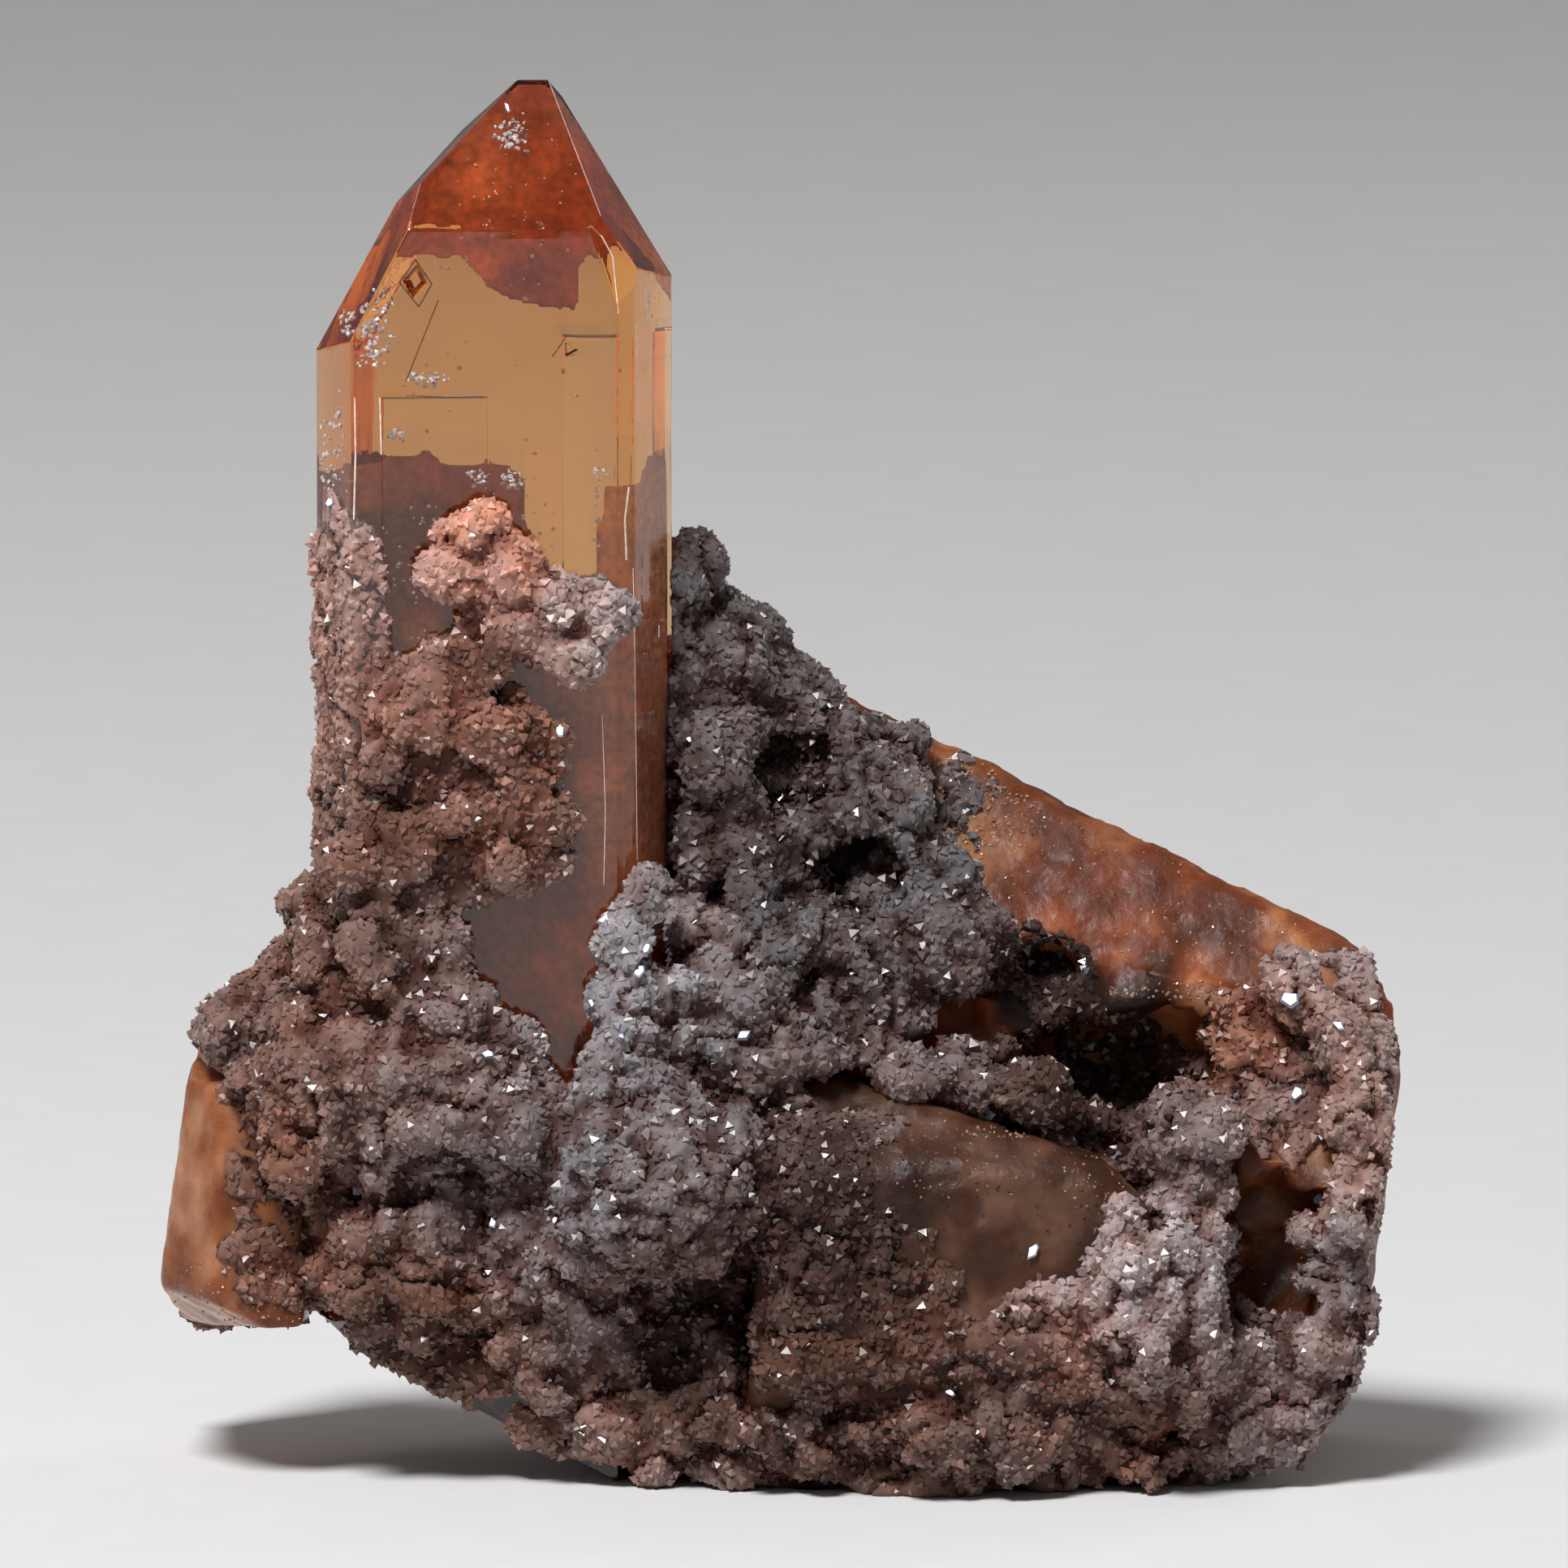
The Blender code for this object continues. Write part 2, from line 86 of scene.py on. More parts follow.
# Colours, as shares of light sent back.
GREY_DRUSE = np.array([0.27, 0.225, 0.225])
PINK_DRUSE = np.array([0.31, 0.125, 0.078])
RUSTY_DRUSE = np.array([0.36, 0.12, 0.05])
WARM_SHADE = np.array([0.80, 1.15, 1.25])  # the painted shade in crevices takes away least of their red
CLEAR_TINT = np.array([1.0, 0.97, 0.90])
TAN_TINT = np.array([0.96, 0.89, 0.86])
RED_TINT = np.array([0.86, 0.55, 0.42])
FOOT_TINT = np.array([0.62, 0.28, 0.16])

TABLE_SIZE = 4096
NOISE_TABLE = np.random.default_rng(7).random(TABLE_SIZE)
NOISE_STEPS = np.array([1619, 3137, 2711])


def blotches(points, size, seed=0):
    """Smooth noise from 0 to 1 with blotches of about the given size."""
    spots = points / size
    cells = np.floor(spots).astype(int)
    part = spots - cells
    part = part * part * (3 - 2 * part)
    total = np.zeros(len(points))
    for corner in itertools.product((0, 1), repeat=3):
        corner = np.array(corner)
        keys = ((cells + corner) @ NOISE_STEPS + seed * 1013) % TABLE_SIZE
        weights = np.prod(np.where(corner, part, 1 - part), axis=1)
        total += weights * NOISE_TABLE[keys]
    return total


def rough_noise(points, size, octaves=3, seed=0):
    """Noise from 0 to 1 with finer and finer detail."""
    total = np.zeros(len(points))
    weight = 1.0
    weights = 0.0
    for octave in range(octaves):
        total += weight * blotches(points, size / 2**octave, seed + octave)
        weights += weight
        weight /= 2
    return total / weights


def unit(vectors):
    return vectors / np.maximum(np.linalg.norm(vectors, axis=-1, keepdims=True), 1e-9)


def rise_between(values, low, high):
    """0 below low, 1 above high and a smooth rise between them."""
    share = np.clip((values - low) / (high - low), 0, 1)
    return share * share * (3 - 2 * share)


def mesh_arrays(mesh):
    """Points and triangles of a mesh."""
    points = np.empty(len(mesh.vertices) * 3)
    mesh.vertices.foreach_get("co", points)
    mesh.calc_loop_triangles()
    triangles = np.empty(len(mesh.loop_triangles) * 3, dtype=np.int32)
    mesh.loop_triangles.foreach_get("vertices", triangles)
    return points.reshape(-1, 3), triangles.reshape(-1, 3)


def node_arrays(node):
    """Points in millimetres and triangles of a solid of the frame."""
    points, triangles = mesh_arrays(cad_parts[node].data)
    return points / MM, triangles


def point_normals(points, faces):
    """The outward direction at each point, from the faces round it."""
    first, second = (0, 2) if faces.shape[1] == 4 else (0, 1)
    third, fourth = (1, 3) if faces.shape[1] == 4 else (0, 2)
    across = points[faces[:, second]] - points[faces[:, first]]
    along = points[faces[:, fourth]] - points[faces[:, third]]
    normals = np.cross(across, along)
    total = np.zeros_like(points)
    for corner in range(faces.shape[1]):
        for axis in range(3):
            total[:, axis] += np.bincount(faces[:, corner], normals[:, axis], len(points))
    return unit(total)


def relaxed(points, faces, rounds, share=0.5):
    """The points drawn towards their neighbours, which rounds small edges."""
    corners = faces.shape[1]
    starts = np.concatenate([faces[:, i] for i in range(corners)])
    ends = np.concatenate([faces[:, (i + 1) % corners] for i in range(corners)])
    count = np.bincount(starts, minlength=len(points))[:, None]
    for _ in range(rounds):
        total = np.stack(
            [np.bincount(starts, points[ends, axis], len(points)) for axis in range(3)], axis=1
        )
        points = points + share * (total / count - points)
    return points


def remeshed(points, triangles, voxel):
    """One closed skin round a heap of closed shapes, as points and quads."""
    mesh = bpy.data.meshes.new("heap")
    mesh.from_pydata(points, [], triangles)
    heap = bpy.data.objects.new("heap", mesh)
    bpy.context.scene.collection.objects.link(heap)
    skin = heap.modifiers.new("skin", "REMESH")
    skin.mode = "VOXEL"
    skin.voxel_size = voxel
    bpy.context.view_layer.update()
    graph = bpy.context.evaluated_depsgraph_get()
    made = bpy.data.meshes.new_from_object(heap.evaluated_get(graph))
    skin_points = np.empty(len(made.vertices) * 3)
    made.vertices.foreach_get("co", skin_points)
    quads = np.empty(len(made.loops), dtype=np.int32)
    made.loops.foreach_get("vertex_index", quads)
    bpy.data.objects.remove(heap)
    bpy.data.meshes.remove(mesh)
    bpy.data.meshes.remove(made)
    return skin_points.reshape(-1, 3), quads.reshape(-1, 4)


def surface_spots(points, triangles, count, chance):
    """Random spots spread evenly over a surface, the direction of the face under each and its number."""
    a, b, c = (points[triangles[:, corner]] for corner in range(3))
    normals = np.cross(b - a, c - a)
    areas = np.linalg.norm(normals, axis=1)
    picked = chance.choice(len(triangles), count, p=areas / areas.sum())
    along, across = chance.random((2, count, 1))
    folded = along + across > 1
    along = np.where(folded, 1 - along, along)
    across = np.where(folded, 1 - across, across)
    spots = a[picked] + along * (b - a)[picked] + across * (c - a)[picked]
    return spots, unit(normals[picked]), picked


def thinned(spots, spacing):
    """Which spots to keep so that about one is left in each cell of the given size."""
    cells = np.floor(spots / spacing).astype(int)
    _, kept = np.unique(cells, axis=0, return_index=True)
    return np.sort(kept)


def triangles_of(quads):
    return np.concatenate([quads[:, [0, 1, 2]], quads[:, [0, 2, 3]]])


def tree_of(points, faces):
    return BVHTree.FromPolygons(points.tolist(), faces.tolist())


def joined(parts):
    """Several meshes of triangles as one."""
    offset = 0
    points = []
    faces = []
    for part_points, part_faces in parts:
        points.append(part_points)
        faces.append(part_faces + offset)
        offset += len(part_points)
    return np.concatenate(points), np.concatenate(faces)


def openness(spots, normals, tree, rays, reach, chance):
    """How much of the sky each spot sees: 1 on an open face, near 0 deep in a cavity."""
    seen = np.zeros(len(spots))
    for _ in range(rays):
        directions = unit(normals + unit(chance.normal(size=spots.shape)) * 0.95)
        starts = spots + normals * 0.08
        for number, (start, direction) in enumerate(zip(starts.tolist(), directions.tolist())):
            if tree.ray_cast(start, direction, reach)[0] is None:
                seen[number] += 1
    return seen / rays


def crest_height(points, quads, rounds):
    """How far each point stands out from the smoothed surface, in millimetres."""
    smooth = relaxed(points, quads, rounds, 0.7)
    return np.sum((points - smooth) * point_normals(points, quads), axis=1)


def pixel_of(points):
    """Where the camera sees points in millimetres, as pixels of the photograph."""
    away = points - CAMERA_PLACE
    depth = away @ FORWARD
    scale = CAMERA_DISTANCE * PIXELS_PER_MM / depth
    across = PHOTO_WIDTH / 2 + (away @ RIGHTWARD) * scale
    down = PHOTO_WIDTH / 2 - (away @ UPWARD) * scale
    return np.stack([across, down], axis=1)


def ray_through(pixel):
    """The direction in which the camera sees a pixel."""
    across = (pixel[0] - PHOTO_WIDTH / 2) / PIXELS_PER_MM
    up = (PHOTO_WIDTH / 2 - pixel[1]) / PIXELS_PER_MM
    target = VIEW_CENTRE + RIGHTWARD * across + UPWARD * up
    return unit(target - CAMERA_PLACE)


def first_hit(pixel, trees):
    """The nearest surface behind a pixel: its place, its outward direction and its tree's number."""
    direction = ray_through(pixel)
    nearest = None
    for number, tree in enumerate(trees):
        place, normal, _, distance = tree.ray_cast(CAMERA_PLACE.tolist(), direction.tolist())
        if place is not None and (nearest is None or distance < nearest[3]):
            nearest = (np.array(place), np.array(normal), number, distance)
    return nearest


def within(pixel, tree, share):
    """A place inside a crystal behind a pixel, at a share of the way from its front to its back."""
    direction = ray_through(pixel)
    front, _, _, _ = tree.ray_cast(CAMERA_PLACE.tolist(), direction.tolist())
    if front is None:
        return None
    start = np.array(front) + direction * 0.05
    back, _, _, depth = tree.ray_cast(start.tolist(), direction.tolist())
    if back is None:
        return None
    return start + direction * depth * share


def spots_in_oval(centre, reach, count, chance):
    """Random pixels in an oval round a centre."""
    turns = chance.uniform(0, 2 * math.pi, count)
    out = np.sqrt(chance.random(count))
    across = centre[0] + np.cos(turns) * out * reach[0]
    down = centre[1] + np.sin(turns) * out * reach[1]
    return np.column_stack([across, down])


def new_mesh(name, points, faces, finish, smooth=False, tints=None):
    """A mesh from points in millimetres, with a colour painted on each point if tints are given."""
    mesh = bpy.data.meshes.new(name)
    mesh.from_pydata(points * MM, [], faces)
    mesh.materials.append(finish)
    if smooth:
        mesh.shade_smooth()
    if tints is not None:
        layer = mesh.color_attributes.new("tint", "FLOAT_COLOR", "POINT")
        layer.data.foreach_set("color", np.column_stack([tints, np.ones(len(tints))]).ravel())
    return mesh


def place_piece(name, mesh, replaces=()):
    made = bpy.data.objects.new(name, mesh)
    bpy.context.scene.collection.objects.link(made)
    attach(made, "root")
    if replaces:
        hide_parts(*replaces)


def new_piece(name, points, faces, finish, smooth=False, replaces=(), tints=None):
    """A piece of the group from points in millimetres."""
    place_piece(name, new_mesh(name, points, faces, finish, smooth, tints), replaces)


# Materials


def new_finish(name):
    finish = bpy.data.materials.new(name)
    finish.use_nodes = True
    tree = finish.node_tree
    return finish, tree, tree.nodes["Principled BSDF"]


def add_node(tree, kind, **settings):
    node = tree.nodes.new(kind)
    for name, value in settings.items():
        setattr(node, name, value)
    return node


def noise_node(tree, size, detail=3.0, stretch=(1, 1, 1)):
    """Noise over the object's own space with blotches of about the given size in millimetres."""
    place = add_node(tree, "ShaderNodeTexCoord")
    mapping = add_node(tree, "ShaderNodeMapping")
    mapping.inputs["Scale"].default_value = [value / MM for value in stretch]
    tree.links.new(place.outputs["Object"], mapping.inputs["Vector"])
    noise = add_node(tree, "ShaderNodeTexNoise")
    noise.inputs["Scale"].default_value = 1 / size
    noise.inputs["Detail"].default_value = detail
    tree.links.new(mapping.outputs["Vector"], noise.inputs["Vector"])
    return noise.outputs["Fac"]


def spread_over(tree, value, low, high, start, end):
    """A value between low and high made into one between start and end."""
    spread = add_node(tree, "ShaderNodeMapRange")
    spread.inputs["From Min"].default_value = low
    spread.inputs["From Max"].default_value = high
    spread.inputs["To Min"].default_value = start
    spread.inputs["To Max"].default_value = end
    tree.links.new(value, spread.inputs["Value"])
    return spread.outputs["Result"]


def colours_over(tree, value, stops):
    """Colours that change with a value, from stops of place and colour."""
    ramp = add_node(tree, "ShaderNodeValToRGB")
    while len(ramp.color_ramp.elements) < len(stops):
        ramp.color_ramp.elements.new(0.5)
    for element, (place, colour) in zip(ramp.color_ramp.elements, stops):
        element.position = place
        element.color = (*colour, 1)
    tree.links.new(value, ramp.inputs["Fac"])
    return ramp.outputs["Color"]


def bump_from(tree, surface, height, depth, strength=1.0):
    """Fine relief, with its depth in millimetres."""
    bump = add_node(tree, "ShaderNodeBump")
    bump.inputs["Strength"].default_value = strength
    bump.inputs["Distance"].default_value = depth * MM
    tree.links.new(height, bump.inputs["Height"])
    tree.links.new(bump.outputs["Normal"], surface.inputs["Normal"])


def absorb(tree, colour, density):
    """Plain absorption inside a clear solid. The density is per metre."""
    inside = add_node(tree, "ShaderNodeVolumeAbsorption")
    inside.inputs["Color"].default_value = (*colour, 1)
    inside.inputs["Density"].default_value = density
    output = tree.nodes["Material Output"]
    tree.links.new(inside.outputs["Volume"], output.inputs["Volume"])


def painted(tree, colour=None):
    """The colour painted on the points, times another colour if one is given."""
    paint = add_node(tree, "ShaderNodeAttribute", attribute_name="tint")
    if colour is None:
        return paint.outputs["Color"]
    mix = add_node(tree, "ShaderNodeMix", data_type="RGBA", blend_type="MULTIPLY")
    mix.inputs["Factor"].default_value = 1.0
    tree.links.new(paint.outputs["Color"], mix.inputs["A"])
    tree.links.new(colour, mix.inputs["B"])
    return mix.outputs["Result"]


def golden_finish():
    finish, tree, surface = new_finish("golden_topaz_clear")
    tree.links.new(painted(tree), surface.inputs["Base Color"])
    surface.inputs["IOR"].default_value = 1.62
    surface.inputs["Specular IOR Level"].default_value = 0.22
    surface.inputs["Transmission Weight"].default_value = 1.0
    haze = noise_node(tree, 2.5, 4.0)
    tree.links.new(spread_over(tree, haze, 0.45, 0.75, 0.02, 0.16), surface.inputs["Roughness"])
    grooves = noise_node(tree, 0.22, 2.0, (1, 1, 0.03))
    bump_from(tree, surface, grooves, 0.02, 0.35)
    absorb(tree, (0.95, 0.63, 0.13), 340)
    return finish


def cloudy_finish(name, stops, clear, absorbed, density, roughness):
    """A translucent crystal, clouded inside and etched outside."""
    finish, tree, surface = new_finish(name)
    surface.inputs["IOR"].default_value = 1.62
    surface.inputs["Specular IOR Level"].default_value = 0.06
    surface.inputs["Transmission Weight"].default_value = clear
    surface.inputs["Subsurface Weight"].default_value = 0.8
    surface.inputs["Subsurface Radius"].default_value = (1.0, 0.4, 0.2)
    surface.inputs["Subsurface Scale"].default_value = 1.2 * MM
    clouds = noise_node(tree, 2.2, 8.0)
    tree.links.new(painted(tree, colours_over(tree, clouds, stops)), surface.inputs["Base Color"])
    haze = noise_node(tree, 0.5, 6.0)
    tree.links.new(spread_over(tree, haze, 0.35, 0.7, *roughness), surface.inputs["Roughness"])
    pits = noise_node(tree, 0.4, 3.0)
    bump_from(tree, surface, pits, 0.12, 0.5)
    absorb(tree, absorbed, density)
    return finish


def fleck_finish(name, low, high, roughness=0.4, clear=0.0):
    """Small inclusions and loose grains in a crystal, in mixed tones."""
    finish, tree, surface = new_finish(name)
    tones = noise_node(tree, 0.15, 1.0)
    tree.links.new(colours_over(tree, tones, [(0.35, low), (0.65, high)]), surface.inputs["Base Color"])
    surface.inputs["Roughness"].default_value = roughness
    surface.inputs["Transmission Weight"].default_value = clear
    return finish


def druse_finish(name, roughness, shine=0.5):
    """Quartz whose colour and painted shade are painted on its points, so that each grain has a tone of its own.
    """
    finish, tree, surface = new_finish(name)
    fleck = noise_node(tree, 0.35, 4.0)
    tone = spread_over(tree, fleck, 0.3, 0.7, 0.75, 1.2)
    tree.links.new(painted(tree, tone), surface.inputs["Base Color"])
    tree.links.new(spread_over(tree, fleck, 0.3, 0.7, *roughness), surface.inputs["Roughness"])
    surface.inputs["IOR"].default_value = 1.54
    surface.inputs["Specular IOR Level"].default_value = shine
    return finish


# The crystals


def whole_faces(node):
    """A solid of the frame in millimetres, with its flat faces whole again."""
    shape = bmesh.new()
    shape.from_mesh(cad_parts[node].data)
    bmesh.ops.scale(shape, vec=(1 / MM, 1 / MM, 1 / MM), verts=shape.verts[:])
    bmesh.ops.remove_doubles(shape, verts=shape.verts[:], dist=0.002)
    bmesh.ops.dissolve_limit(
        shape, angle_limit=math.radians(0.6), verts=shape.verts[:], edges=shape.edges[:]
    )
    return shape


def worn_edges(shape, width):
    """A fine bevel along every long outer edge."""
    shape.normal_update()
    worn = [
        edge
        for edge in shape.edges
        if len(edge.link_faces) == 2
        and edge.is_convex
        and edge.calc_face_angle() > math.radians(8)
        and edge.calc_length() > 8 * width
    ]
    bmesh.ops.bevel(
        shape, geom=worn, offset=width, segments=2, profile=0.6, affect="EDGES", clamp_overlap=False
    )


def gridded(shape, steps):
    """Cuts a shape by even planes across X, Y and Z, which leaves its flat faces flat."""
    for axis, step in enumerate(steps):
        places = [vertex.co[axis] for vertex in shape.verts]
        direction = [0.0, 0.0, 0.0]
        direction[axis] = 1.0
        cuts = np.arange(min(places) + step * 0.6, max(places), step)
        for cut in cuts:
            point = [0.0, 0.0, 0.0]
            point[axis] = float(cut)
            whole = shape.verts[:] + shape.edges[:] + shape.faces[:]
            bmesh.ops.bisect_plane(shape, geom=whole, plane_co=point, plane_no=direction, dist=1e-5)


def bmesh_arrays(shape):
    """Points, triangles and, for each point, whether all its faces lie in one plane."""
    shape.verts.ensure_lookup_table()
    bmesh.ops.triangulate(shape, faces=shape.faces[:])
    shape.normal_update()
    points = np.array([vertex.co for vertex in shape.verts])
    triangles = np.array([[vertex.index for vertex in face.verts] for face in shape.faces])
    flat = np.array(
        [
            all(face.normal.dot(vertex.link_faces[0].normal) > 0.9999 for face in vertex.link_faces)
            for vertex in shape.verts
        ]
    )
    return points, triangles, flat


def make_point():
    """The upright crystal, with growth lines along its faces."""
    shape = whole_faces("upright_topaz")
    worn_edges(shape, 0.06)
    shape.verts.index_update()
    gridded(shape, (0.22, 0.22, 0.45))
    shape.verts.index_update()
    points, triangles, flat = bmesh_arrays(shape)
    shape.free()
    normals = point_normals(points, triangles)
    along = unit(np.cross(normals, [0.0, 0.0, 1.0]))
    place = np.sum(points * along, axis=1)
    lines = np.column_stack([place, normals[:, 0] * 9, points[:, 2] * 0.02])
    growth = rough_noise(lines, 0.9, 3, seed=3) - 0.5
    dimples = rough_noise(points, 2.4, 2, seed=5) - 0.5
    steep = np.abs(normals[:, 2]) < 0.2
    depth = np.where(steep, growth * 0.035, 0) + dimples * 0.02
    points = points + normals * (depth * flat)[:, None]
    return points, triangles


# Broken and etched hollows of the tilted crystal: middle, reach and how dark the painted shade makes it.
HOLLOWS = [
    ((10.6, -3.4, 12.0), 4.6, 0.9),
    ((8.2, -1.8, 15.2), 2.2, 0.97),
    ((15.1, -5.2, 7.2), 3.4, 0.35),
]


def broken_up(points):
    """Makes the hollows of the tilted crystal ragged."""
    near = np.zeros(len(points))
    for middle, reach, _ in HOLLOWS:
        away = np.linalg.norm(points - np.array(middle), axis=1) / reach
        near = np.maximum(near, 1 - rise_between(away, 0.75, 1.25))
    shift = np.column_stack([rough_noise(points, 1.7, 3, seed) - 0.5 for seed in (81, 84, 87)])
    return points + shift * near[:, None] * np.array([2.6, 1.2, 2.6])


def hollow_shade(points):
    """How dark the painted shade makes the tilted crystal in its broken hollows, from 0 to 1."""
    shade = np.zeros(len(points))
    for middle, reach, dark in HOLLOWS:
        away = np.linalg.norm(points - np.array(middle), axis=1) / reach
        shade = np.maximum(shade, dark * (1 - rise_between(away, 0.7, 1.1)))
    return shade


# The upper border of the clearest part of the upright crystal's front, and its two sides, in pixels.
CLEAR_EDGE = [(596, 490), (640, 465), (680, 440), (724, 440)]
CLEAR_LEFT = 596
CLEAR_RIGHT = 724
FRONT_HALF = -2.5


def point_tints(points):
    """Golden, with a tan part in front, reddish towards the tip and brown at the foot."""
    seen = pixel_of(points)
    below = rise_between(seen[:, 1] - edge_height(seen[:, 0], CLEAR_EDGE), -6, 6)
    between = rise_between(seen[:, 0], CLEAR_LEFT - 6, CLEAR_LEFT + 6)
    between = between * (1 - rise_between(seen[:, 0], CLEAR_RIGHT - 6, CLEAR_RIGHT + 6))
    behind = points[:, 1] > FRONT_HALF
    clear = np.where(behind, 1, below * between)[:, None]
    red = rise_between(points[:, 2] + (rough_noise(points, 2.0, 2, 91) - 0.5) * 1.5, 36.8, 39.2)
    foot = 1 - rise_between(points[:, 2], 6.0, 10.0)[:, None]
    body = CLEAR_TINT * clear + TAN_TINT * (1 - clear)
    body = body * (1 - foot) + FOOT_TINT * foot
    return body * (1 - red)[:, None] + RED_TINT * red[:, None]


def blotchy_tints(points):
    tone = 0.7 + 0.6 * rough_noise(points, 2.6, 3, 95)
    return np.repeat(tone[:, None], 3, axis=1)


# Paler and more orange parts of the tilted crystal: pixel, reach and how much of each colour is added.
BLOCK_SPOTS = [
    ((1190, 965), 50, (1.1, 1.9, 1.7)),
    ((1222, 1165), 34, (2.2, 1.7, 0.6)),
    ((1350, 1130), 60, (0.6, 0.5, 0.3)),
    ((1460, 1215), 45, (1.0, 1.2, 1.1)),
    ((1600, 1180), 60, (0.6, 1.0, 0.9)),
]


def block_tints(points):
    """Blotchy, brighter in places and darkened by painted shade in the broken hollows."""
    seen = pixel_of(points)
    tints = blotchy_tints(points)
    for centre, reach, gain in BLOCK_SPOTS:
        away = np.sum((seen - np.array(centre)) ** 2, axis=1) / reach**2
        tints = tints * (1 + np.exp(-away)[:, None] * np.array(gain))
    return tints * (1 - hollow_shade(points))[:, None]


def make_etched(node, voxel, big, fine, rounds):
    """A crystal with etched faces, from a fine skin of its solid."""
    points, quads = remeshed(*node_arrays(node), voxel)
    points = relaxed(points, quads, rounds)
    if node == "tilted_topaz":
        points = broken_up(points)
    normals = point_normals(points, quads)
    swell = rough_noise(points, 1.6, 3, seed=11) - 0.5
    pits = rough_noise(points, 0.55, 2, seed=15) - 0.5
    points = points + normals * (swell * big + pits * fine)[:, None]
    points[:, 2] = np.maximum(points[:, 2], 0.0)
    return points, quads


# The druse


def ball(fineness):
    shape = bmesh.new()
    bmesh.ops.create_icosphere(shape, subdivisions=fineness, radius=1)
    bmesh.ops.triangulate(shape, faces=shape.faces[:])
    points = np.array([vertex.co for vertex in shape.verts])
    triangles = np.array([[vertex.index for vertex in face.verts] for face in shape.faces])
    shape.free()
    return points, triangles


def copies_of(points, faces, count):
    """The faces of several copies of a shape, one after the other."""
    offsets = np.arange(count)[:, None, None] * len(points)
    return (faces[None] + offsets).reshape(-1, faces.shape[1])


def back_coat(crystal, triangles, chance):
    """Spots on the back of the upright crystal where the druse covers it, up to a ragged edge."""
    spots, normals, _ = surface_spots(crystal, triangles, 14000, chance)
    ragged = (rough_noise(spots, 2.5, 3, 61) - 0.5) * 7
    edge = np.where(spots[:, 0] < -8.5, 30.0, 25.0) + ragged
    behind = (normals[:, 1] > 0.2) & (spots[:, 2] < edge) & (spots[:, 2] > 0.4)
    kept = np.flatnonzero(behind)[:2600]
    return spots[kept], normals[kept], chance.uniform(0.28, 0.5, len(kept))


def back_patches(crystal, triangles, count, chance):
    """Spots in ragged patches on the back of another crystal, most of them near its foot."""
    spots, normals, _ = surface_spots(crystal, triangles, count, chance)
    patchy = rough_noise(spots, 5.0, 3, 67) + 0.3 * (1 - rise_between(spots[:, 2], 1.0, 12.0))
    kept = (normals[:, 1] > 0.5) & (patchy > 0.66) & (spots[:, 2] > 0.3)
    return spots[kept], normals[kept], chance.uniform(0.25, 0.5, kept.sum())


# A coat stays off faces that turn away from the camera by more than this, and so inside the outline.
LEAST_FACING = 0.4
LEAST_FACING_AT_SIDES = 0.06


def painted_coat(pixel, reach, count, trees, chance, least_facing):
    """Spots on whatever the camera sees within an oval round a pixel."""
    spots = []
    normals = []
    for spot in spots_in_oval(pixel, reach, count, chance):
        hit = first_hit(spot, trees)
        if hit is not None and hit[1] @ FORWARD < -least_facing:
            spots.append(hit[0])
            normals.append(hit[1])
    return np.array(spots).reshape(-1, 3), np.array(normals).reshape(-1, 3)


# The crust's solid is drawn in by this much, and knobs fill it out again: count, sizes and how far
# each rises above the solid's surface.
CORE_DEPTH = 0.3
SKIN_VOXEL = 0.21
CRUST_PARTS = 2
GROUND_KNOBS = [
    (1500, (0.45, 1.00), (-0.10, 0.12)),
    (4200, (0.20, 0.45), (-0.25, 0.10)),
]


def crack_depth(points):
    """1 along the crevices between clusters and 0 away from them."""
    ridge = 1 - np.abs(2 * rough_noise(points, 1.9, 2, seed=45) - 1)
    return rise_between(ridge, 0.90, 1.0)


# Druse that lies on the crystals: pixel in the middle, reach across and down, count, smallest and largest knob.
PAINTED_COATS = [
    ((1060, 1600), (120, 90), 160, (0.30, 0.60)),
    ((1150, 1690), (200, 50), 200, (0.30, 0.60)),
    ((1010, 1480), (60, 110), 110, (0.30, 0.60)),
    ((965, 1450), (35, 130), 110, (0.25, 0.50)),
    ((1100, 1560), (60, 60), 60, (0.25, 0.45)),
    ((1330, 1640), (110, 60), 120, (0.30, 0.55)),
    ((1390, 1725), (100, 60), 130, (0.30, 0.55)),
    ((1400, 1560), (60, 80), 80, (0.30, 0.55)),
    ((340, 1420), (70, 120), 130, (0.25, 0.45)),
    ((360, 1560), (90, 50), 90, (0.22, 0.40)),
    ((1680, 1300), (40, 120), 90, (0.25, 0.50)),
    ((1640, 1210), (50, 40), 40, (0.20, 0.40)),
    ((1560, 1700), (120, 80), 130, (0.30, 0.60)),
    ((1170, 960), (60, 40), 40, (0.20, 0.40)),
    ((1150, 1060), (50, 80), 60, (0.22, 0.45)),
    ((1190, 1180), (40, 60), 50, (0.22, 0.45)),
    ((1290, 1195), (56, 46), 110, (0.20, 0.36)),
    ((1340, 1310), (120, 70), 200, (0.22, 0.45)),
    ((1470, 1370), (60, 60), 90, (0.22, 0.45)),
    ((1550, 1275), (70, 55), 120, (0.25, 0.55)),
    ((930, 1500), (30, 130), 90, (0.30, 0.60)),
    ((928, 1470), (12, 140), 70, (0.60, 0.90)),
    ((1590, 1370), (60, 70), 120, (0.22, 0.45)),
    ((610, 930), (90, 80), 260, (0.20, 0.34)),
    ((650, 1030), (70, 70), 180, (0.20, 0.36)),
    ((650, 745), (80, 45), 160, (0.20, 0.34)),
    ((520, 860), (40, 40), 70, (0.20, 0.32)),
    ((560, 1080), (70, 40), 90, (0.22, 0.40)),
    ((945, 1640), (60, 60), 60, (0.30, 0.60)),
    ((1060, 1390), (60, 20), 30, (0.20, 0.35)),
]
